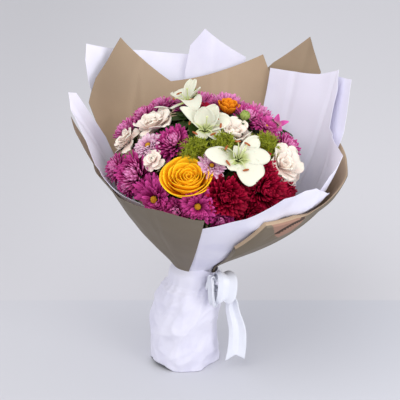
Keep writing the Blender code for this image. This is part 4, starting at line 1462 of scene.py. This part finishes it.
def draw_inside(verts):
    """Draw what sticks out through the paper back inside it."""
    for v in verts:
        right = v.co.x - funnel_x(v.co.z)
        out = math.hypot(right, v.co.y)
        limit = funnel_radius(math.degrees(math.atan2(v.co.y, right)), v.co.z) - WALL_GAP
        if out > limit > 0:
            v.co.x = funnel_x(v.co.z) + right * limit / out
            v.co.y *= limit / out


def shared_wave(angle, z):
    """Gentle wave that every sheet follows, largest at the rim."""
    rise = up_funnel(z)
    turn = math.radians(angle)
    swing = sum(share * math.sin(count * turn + start + drift * rise)
                for share, count, start, drift in WAVES)
    return bpy.context.scene.bouquet_paper.wave * swing * rise ** 1.3


def crease_at(name, angle, rise):
    """Depth of the fold lines of a sheet at a place, and how strong their painted highlight is."""
    depth, mark = 0.0, 0.0
    for low, high, fold, half in CREASES.get(name, ()):
        off = abs(angle - (low + (high - low) * rise)) / half
        if off < 1:
            depth += fold * (1 - off) * min(rise * 1.6, 1)
            mark = max(mark, 1 - off * 2)
    return depth, mark


def column(angles, across):
    """Angle of the column that lies at this place across a sheet."""
    return angles[round((across + 1) / 2 * (len(angles) - 1))]


def neck_angle(angle, z, ends, span, top):
    """Angle of a column at a height, so that a sheet's side edges run straight."""
    share = (angle - ends[0]) / (ends[1] - ends[0])
    low = span[0] + (span[1] - span[0]) * share
    if z <= NECK_Z:
        return low
    left = 1 - min((z - NECK_Z) / (top - NECK_Z), 1)
    return angle + (low - angle) * left * NECK_RADIUS / funnel_radius(angle, z)


def bump(x, middle, half):
    """Smooth hill that is 1 at its middle and 0 beyond its half width."""
    off = abs(x - middle) / half
    return (1 + math.cos(math.pi * off)) / 2 if off < 1 else 0.0


def set_out(name, angle, z):
    """How far a sheet stands proud of the funnel here."""
    out = 0.0
    if name == "paper_white_front":
        off = z - LIP_FOLD_Z - (angle - LIP_FOLD_ANGLE) * LIP_FOLD_CLIMB
        fold = max(1 - abs(off) / LIP_FOLD_HALF, 0)
        deep = min(max((angle - LIP_FOLD_START) / LIP_FOLD_GROWTH, 0), 1)
        out += LIP_FOLD_DEPTH * fold * deep
    for depth, middle, half, height, half_height in STAND_OFF.get(name, ()):
        out += depth * bump(angle, middle, half) * bump(z, height, half_height)
    return out


def sheet(row):
    """One paper sheet with waves, fold lines and fine dents."""
    name, slot, layer, span, outline = row
    angles = columns_of(outline, SHEET_COLUMN)
    ends = (outline[0][0], outline[-1][0])
    seed = Vector((layer * 3.1, ends[0] * 0.1, 0))
    skin = Skin()

    def at(along, across):
        angle = column(angles, across)
        top = cut_line(outline, angle)
        z = SHEET_FOOT_Z + (top - SHEET_FOOT_Z) * along
        return z, neck_angle(angle, z, ends, span, top)

    def shape(along, across):
        z, turned = at(along, across)
        rise = up_funnel(z)
        depth, _ = crease_at(name, turned, rise)
        flat = funnel_point(turned, z, layer)
        dent = noise.noise(flat * DENT_SCALE + seed) * DENT_DEPTH * min(rise * 2, 1)
        proud = depth + dent + shared_wave(turned, z) + set_out(name, turned, z)
        return funnel_point(turned, z, layer, proud)

    # Strength of the painted highlight along the fold lines here.
    def crease(along, across):
        z, turned = at(along, across)
        return crease_at(name, turned, up_funnel(z))[1]

    skin.surface(shape, SHEET_ROWS, len(angles) - 1, crease=crease)
    if slot == "paper_white":
        finishes = (slot,)
    else:
        # The back right sheet takes its own finish, darkened with painted shade.
        darker = name == "paper_brown_back_right"
        finishes = (name if darker else slot, slot + "_outer")
    paper_piece(name, skin, slot, finishes)


def paper_piece(name, skin, slot, finishes, shown=None):
    """Give a sheet its thickness, with crisp cut edges, and its faces their finish.

    Shown gives the finish of a face where that isn't the one of its side.
    """
    wall = bpy.context.scene.bouquet_paper.wall
    bmesh.ops.reverse_faces(skin.bm, faces=skin.bm.faces)
    inner = set(skin.bm.faces)
    bmesh.ops.solidify(skin.bm, geom=skin.bm.faces[:], thickness=wall)
    for face in skin.bm.faces:
        side = INSIDE if face in inner or len(finishes) == 1 else OUTSIDE
        chosen = shown(face) if shown else None
        face.material_index = side if chosen is None else chosen
    bmesh.ops.recalc_face_normals(skin.bm, faces=skin.bm.faces)
    piece(name + "_sheet", skin, finishes, slot, (name,), sharp=CRISP_ANGLE)


def flap_sheet():
    """Brown sheet whose rim folds outwards and hangs as a flap."""
    name, slot, layer, span = FLAP_SHEET
    angles = columns_of(FLAP_RIM, FLAP_COLUMN)
    ends = (FLAP_RIM[0][0], FLAP_RIM[-1][0])
    skin = Skin()

    def down_flap(along):
        """Share of the way from the flap's fold down to its hem."""
        return (along * FLAP_ROWS - FOLD_ROW) / (FLAP_ROWS - FOLD_ROW)

    def shape(along, across):
        angle = column(angles, across)
        top = cut_line(FLAP_RIM, angle)
        row = round(along * FLAP_ROWS)
        if row <= FOLD_ROW:
            z = SHEET_FOOT_Z + (top - SHEET_FOOT_Z) * row / FOLD_ROW
            turned = neck_angle(angle, z, ends, span, top)
            depth, _ = crease_at(name, turned, up_funnel(z))
            return funnel_point(turned, z, layer, depth + shared_wave(turned, z))
        down = (row - FOLD_ROW) / (FLAP_ROWS - FOLD_ROW)
        hem = cut_line(FLAP_HEM, angle)
        lift = lerp(FLAP_LIFT, angle)
        out = lerp(((0, layer), (0.1, layer + lift * 0.4), (0.2, layer + lift * 0.8),
                    (0.6, layer + lift), (1, layer + lift * 1.1)), down)
        z = lerp(((0, top), (0.1, top + FOLD_BEND), (0.2, top), (0.6, (top + hem) / 2),
                  (1, hem)), down)
        slit = SLIT_DEPTH * bump(down - slit_row(angle), 0, SLIT_HALF) * bump(angle, *SLIT_SPAN)
        return funnel_point(angle, z, out, shared_wave(angle, top) - slit)

    def shown_fold_shade(along, across):
        """1 in the slit's painted dark shade, 0.5 on the painted warm shade round it, and 0
        elsewhere.
        """
        angle = column(angles, across)
        down = down_flap(along)
        low, high = (end + taper * down for end, taper in zip(FOLD_SHADE_ENDS, FOLD_SHADE_TAPER))
        if down < 0 or not low < angle < high:
            return 0.0
        return 1.0 if abs(down - slit_row(angle)) < SLIT_SHADE_HALF else 0.5

    skin.surface(shape, FLAP_ROWS, len(angles) - 1, crease=shown_fold_shade)
    finishes = (slot, slot + "_outer", slot + "_lining", slot + "_slit")
    paper_piece(name, skin, slot, finishes, lambda face: flap_side(face, skin.layers))


def slit_row(angle):
    """Where the dark slit lies at an angle, as a share of the way down the flap."""
    return SLIT_DOWN - (angle - SLIT_DOWN_ANGLE) * SLIT_CLIMB


def flap_side(face, layers):
    """Finish of a face of the flap: both its sides take the dark outer finish as painted shade,
    with painted warm shade and a slit of painted dark shade in it.
    """
    row = sum(v[layers[0]] for v in face.verts) / len(face.verts)
    mark = sum(v[layers[3]] for v in face.verts) / len(face.verts)
    if row < FLAP_START:
        return None
    return SLIT_SHADE if mark > 0.7 else FOLD_SHADE if mark > 0.26 else OUTSIDE


def sleeve_ring(z):
    """Middle and radius of the sleeve at a height."""
    for low, high in zip(SLEEVE_RINGS, SLEEVE_RINGS[1:]):
        if z <= high[0]:
            share = eased(min(max((z - low[0]) / (high[0] - low[0]), 0), 1))
            return [start + (end - start) * share for start, end in zip(low[1:], high[1:])]
    return SLEEVE_RINGS[-1][1:]


def sleeve_dent(turn, z):
    """Crumples of the sleeve: broad facets parted by soft ridges."""
    at = Vector((math.cos(turn), math.sin(turn), z * 22 + math.sin(turn * 2) * 0.3))
    facets = 0.0
    for scale, share in FACETS:
        near = noise.voronoi(at * scale + FACET_SEED)[0]
        facets += share * (near[1] - near[0])
    fold = abs(noise.noise(at * 1.3 + RIDGE_SEED))
    return 0.5 - facets * 1.1 - fold * 0.8


def sleeve():
    """White paper crushed round the stems, its top folded in over the ribbon's band."""
    paper = bpy.context.scene.bouquet_paper
    skin = Skin()
    top = SLEEVE_RINGS[-1][0]

    def shape(along, across):
        turn = math.pi * across
        angle = math.degrees(turn) % 360
        front = min(bump(angle, *SLEEVE_FRONT) * 2.5, 1)
        rise = top + SLEEVE_RISE * front
        hem = SLEEVE_RINGS[0][0] + lerp(HEM_LIFT, angle)
        z = hem + (rise - hem) * along
        middle, radius = sleeve_ring(z)
        if z > OVER_BAND_LOW:
            over = front * bump(z, BAND_Z, OVER_BAND_HALF) ** 0.5
            radius += (OVER_BAND_RADIUS - radius) * over
        turn_in, height = TURN_IN
        radius -= turn_in * max(z - TURN_IN_Z, 0) / height
        crumpled = min(max(CRUMPLE_TOP - z, 0) / CRUMPLE_GROWTH, 1)
        radius += paper.crumple * sleeve_dent(turn, z) * crumpled
        gather = math.sin(turn * 17 + math.sin(turn * 5) * 1.4)
        radius += GATHER_DEPTH * gather * bump(z, GATHER_Z, GATHER_HALF)
        return Vector((middle + radius * math.cos(turn), radius * math.sin(turn), z))

    verts = skin.surface(shape, 96, 200)
    bmesh.ops.remove_doubles(skin.bm, verts=verts, dist=1e-6)
    bmesh.ops.recalc_face_normals(skin.bm, faces=skin.bm.faces)
    piece("foot_sleeve_paper", skin, ("paper_white",), "paper_white", ("foot_sleeve",),
          paper.wall, offset=0)


def ribbon_strip(name, line, widths, across, gathers, notch=0.0, closed=False, **facts):
    """Strip of satin along a line, gathered where it is drawn narrow."""
    ribbon = bpy.context.scene.bouquet_ribbon
    skin = Skin()
    count = len(line) - 1
    slant = [(line[min(i + 1, count)] - line[max(i - 1, 0)]).normalized() for i in range(count + 1)]
    if closed:
        slant[0] = slant[-1] = (line[1] - line[-2]).normalized()

    def shape(along, side):
        i = round(along * count)
        wide = widths[i]
        way = across[i]
        face = way.cross(slant[i]).normalized()
        depth = math.sqrt(max(ribbon.width ** 2 - wide ** 2, 0)) / (4 * gathers)
        wave = 2 / math.pi * math.asin(math.sin(side * math.pi * gathers + GATHER_START))
        point = line[i] + way * side * wide / 2 + face * depth * wave
        if notch and i > count - NOTCH_ROWS:
            point -= slant[i] * notch * (1 - abs(side)) * (i - count + NOTCH_ROWS) / NOTCH_ROWS
        return point

    verts = skin.surface(shape, count, RIBBON_COLUMNS)
    if closed:
        bmesh.ops.remove_doubles(skin.bm, verts=verts, dist=1e-5)
    run = sum((b - a).length for a, b in zip(line, line[1:]))
    area = sum(face.calc_area() for face in skin.bm.faces)
    run = max(run, area * GATHER_SLACK / ribbon.width)
    made = piece(name, skin, ("satin_white",), "satin_white", (), ribbon.wall, offset=0)
    return made


def path_strip(name, path, across, gathers, **facts):
    """Strip of satin through the points of a path."""
    line = smooth_line([Vector(point) for point, _ in path], PATH_STEPS)
    wide = smooth_line([Vector((width, 0, 0)) for _, width in path], PATH_STEPS)
    across = Vector(across).normalized()
    return ribbon_strip(name, line, [w.x for w in wide], [across] * len(line), gathers, **facts)


def ribbon_band():
    """Gathered satin band round the neck."""
    turns = [math.tau * i / BAND_STEPS for i in range(BAND_STEPS + 1)]
    line = [Vector((NECK_X + BAND_RADIUS * math.cos(t), BAND_RADIUS * math.sin(t), BAND_Z))
            for t in turns]
    widths = [BAND_WIDTH + BAND_RIPPLE * math.sin(3 * t) for t in turns]
    made = ribbon_strip("ribbon_band_satin", line, widths, [Vector((0, 0, 1))] * len(line), 2.5,
                        closed=True, held="gathered", rests_on=["foot_sleeve_paper"])
    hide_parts("ribbon_band")


def ribbon_bow():
    """Bow: a large loop, a small loop, the hanging end and the knot."""
    path_strip("ribbon_loop_large", BIG_LOOP, (1, 0.12, -0.1), 1.5, held="folded",
               rests_on=["ribbon_band_satin"])
    path_strip("ribbon_loop_small", SMALL_LOOP, (0.45, -0.85, 0.1), 1.5, held="folded",
               rests_on=["ribbon_band_satin"])
    tail = path_strip("ribbon_tail", TAIL, (1, 0.12, 0.04), 1.5, notch=NOTCH, held="hung",
                      rests_on=["ribbon_band_satin"])
    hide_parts("ribbon_bow")
    turns = [math.tau * i / KNOT_STEPS for i in range(KNOT_STEPS + 1)]
    right, back, up = KNOT_RADII
    line = [KNOT_PLACE + Vector((right * math.sin(t), -back * math.cos(t), up * math.sin(t)))
            for t in turns]
    across = Vector((0.95, 0.3, 0.0)).normalized()
    ribbon_strip("ribbon_knot", line, [KNOT_WIDTH] * len(line), [across] * len(line), 2.5,
                 closed=True, held="gathered", rests_on=["ribbon_band_satin"])


def floor(settings):
    """Pale table top that turns grey behind the bouquet, with painted shade darkening it at the
    left.
    """
    bm = bmesh.new()
    bmesh.ops.create_grid(bm, x_segments=8, y_segments=8, size=FLOOR_HALF)
    mesh = bpy.data.meshes.new("floor")
    bm.to_mesh(mesh)
    bm.free()
    made = Finish("floor", Roughness=0.7)
    soft = made.noise(1.5, 3)
    behind = (made.axis("Y") + soft * 0.004).step(*TABLE_EDGE)
    base = made.mix(behind, settings.floor, settings.backdrop)
    base = made.mix(soft * 0.12, base, scaled(settings.backdrop, 0.96))
    # Painted shade towards the left.
    painted_shade_left = 1 - made.axis("X").step(*PAINTED_SHADE_LEFT)
    base = made.mix(painted_shade_left * 0.8, base, scaled(settings.backdrop, 0.84))
    made.paint(base)
    mesh.materials.append(made.material)
    add_object("floor", mesh)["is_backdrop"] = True


def lamp(name, place, target, size, power):
    """Large square light that faces a point."""
    data = bpy.data.lights.new(name, "AREA")
    data.size = size
    data.energy = power
    obj = add_object(name, data)
    obj.location = place
    obj.rotation_euler = (target - place).to_track_quat("-Z", "Y").to_euler()


def stage(settings):
    """Floor, lights, even studio sky and the camera."""
    floor(settings)
    lamp("key_light", *KEY_LAMP, settings.key)
    lamp("fill_light", *FILL_LAMP, settings.fill)
    scene = bpy.context.scene
    world = bpy.data.worlds.new("studio")
    scene.world = world
    world.use_nodes = True
    back = world.node_tree.nodes["Background"]
    back.inputs["Color"].default_value = SKY_COLOUR
    back.inputs["Strength"].default_value = settings.sky
    scene.view_settings.view_transform = "Standard"
    data = bpy.data.cameras.new("camera")
    data.lens = CAMERA_LENS
    data.sensor_width = CAMERA_SENSOR
    obj = add_object("camera", data)
    away = Vector((0, -math.cos(CAMERA_ELEVATION), math.sin(CAMERA_ELEVATION)))
    obj.location = CAMERA_TARGET + away * CAMERA_DISTANCE
    obj.rotation_euler = (-away).to_track_quat("-Z", "Y").to_euler()
    scene.camera = obj


def named(prefix):
    """Blooms whose name starts with a word."""
    return [b for b in all_blooms() if b.name.startswith(prefix)]


class MumOperator(bpy.types.Operator):
    """Add the magenta and pale pink chrysanthemums"""

    bl_idname = "bouquet.add_mums"
    bl_label = "Magenta chrysanthemums"

    def execute(self, context):
        for bloom in named("mum"):
            mum(bloom, EYES.get(bloom.name, 0.0))
        return {"FINISHED"}


class CrimsonOperator(bpy.types.Operator):
    """Add the crimson chrysanthemums"""

    bl_idname = "bouquet.add_crimsons"
    bl_label = "Crimson chrysanthemums"

    def execute(self, context):
        for bloom in named("crimson"):
            mum(bloom)
        return {"FINISHED"}


class RoseOperator(bpy.types.Operator):
    """Add the garden rose"""

    bl_idname = "bouquet.add_rose"
    bl_label = "Garden rose"

    def execute(self, context):
        garden_rose(named("garden_rose")[0])
        return {"FINISHED"}


class LilyOperator(bpy.types.Operator):
    """Add the three lilies with their stamens"""

    bl_idname = "bouquet.add_lilies"
    bl_label = "Lilies"

    def execute(self, context):
        for bloom in named("lily"):
            lily(bloom, LILY_SPINS[bloom.name])
        return {"FINISHED"}


class RuffleOperator(bpy.types.Operator):
    """Add the ruffled cream blooms"""

    bl_idname = "bouquet.add_ruffles"
    bl_label = "Ruffled blooms"

    def execute(self, context):
        for bloom in named("ruffle"):
            ruffle(bloom)
        return {"FINISHED"}


class SmallBloomOperator(bpy.types.Operator):
    """Add the star flower, the orange cup and the green buds"""

    bl_idname = "bouquet.add_small_blooms"
    bl_label = "Star, cup and buds"

    def execute(self, context):
        star(named("star")[0])
        for bloom in named("orange_cup") + named("bud"):
            cup(bloom)
        return {"FINISHED"}


class FernOperator(bpy.types.Operator):
    """Add the fern tufts"""

    bl_idname = "bouquet.add_ferns"
    bl_label = "Fern tufts"

    def execute(self, context):
        for bloom in named("fern"):
            fern(bloom)
        return {"FINISHED"}


class GreeneryOperator(bpy.types.Operator):
    """Add the stems, the tape and the leaves"""

    bl_idname = "bouquet.add_greenery"
    bl_label = "Stems and leaves"

    def execute(self, context):
        blooms = all_blooms()
        stems(blooms)
        leaves(blooms)
        return {"FINISHED"}


class SheetOperator(bpy.types.Operator):
    """Add the ten sheets of wrapping paper"""

    bl_idname = "bouquet.add_sheets"
    bl_label = "Wrapping paper"

    def execute(self, context):
        for row in SHEETS:
            sheet(row)
        flap_sheet()
        return {"FINISHED"}


class SleeveOperator(bpy.types.Operator):
    """Add the crumpled paper sleeve round the stems"""

    bl_idname = "bouquet.add_sleeve"
    bl_label = "Foot sleeve"

    def execute(self, context):
        sleeve()
        return {"FINISHED"}


class RibbonOperator(bpy.types.Operator):
    """Add the satin band and its bow"""

    bl_idname = "bouquet.add_ribbon"
    bl_label = "Satin ribbon"

    def execute(self, context):
        ribbon_band()
        ribbon_bow()
        return {"FINISHED"}


class StageOperator(bpy.types.Operator):
    """Add the floor, the lights and the camera"""

    bl_idname = "bouquet.add_stage"
    bl_label = "Stage"

    def execute(self, context):
        stage(context.scene.bouquet_stage)
        return {"FINISHED"}


OPERATORS = (
    MumOperator, CrimsonOperator, RoseOperator, LilyOperator, RuffleOperator, SmallBloomOperator,
    FernOperator, GreeneryOperator, SheetOperator, SleeveOperator, RibbonOperator, StageOperator,
)


GROUPS = {
    "bouquet_flowers": BouquetFlowers,
    "bouquet_paper": BouquetPaper,
    "bouquet_ribbon": BouquetRibbon,
    "bouquet_stage": BouquetStage,
}


class BouquetPanel(bpy.types.Panel):
    """Sizes, colours and building steps of the bouquet"""

    bl_idname = "VIEW3D_PT_bouquet"
    bl_label = "Bouquet"
    bl_space_type = "VIEW_3D"
    bl_region_type = "UI"
    bl_category = "Bouquet"

    def draw(self, context):
        for group in GROUPS:
            box = self.layout.box()
            settings = getattr(context.scene, group)
            for key in settings.bl_rna.properties.keys():
                if key not in ("rna_type", "name"):
                    box.prop(settings, key)
        for operator in OPERATORS:
            self.layout.operator(operator.bl_idname)


def register():
    """Add the settings, the operators and the panel."""
    for cls in (*GROUPS.values(), *OPERATORS, BouquetPanel):
        bpy.utils.register_class(cls)
    for name, group in GROUPS.items():
        setattr(bpy.types.Scene, name, bpy.props.PointerProperty(type=group))


def unregister():
    """Take them away again."""
    for name in GROUPS:
        delattr(bpy.types.Scene, name)
    for cls in reversed((*GROUPS.values(), *OPERATORS, BouquetPanel)):
        bpy.utils.unregister_class(cls)


def main():
    """Build every piece."""
    register()
    for operator in OPERATORS:
        group, step = operator.bl_idname.split(".")
        getattr(getattr(bpy.ops, group), step)()
    boxes = {"cad": CAD_BOX, "visual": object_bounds()}
    {k: [list(corner) for corner in box] for k, box in boxes.items()}


if __name__ == "__main__":
    main()
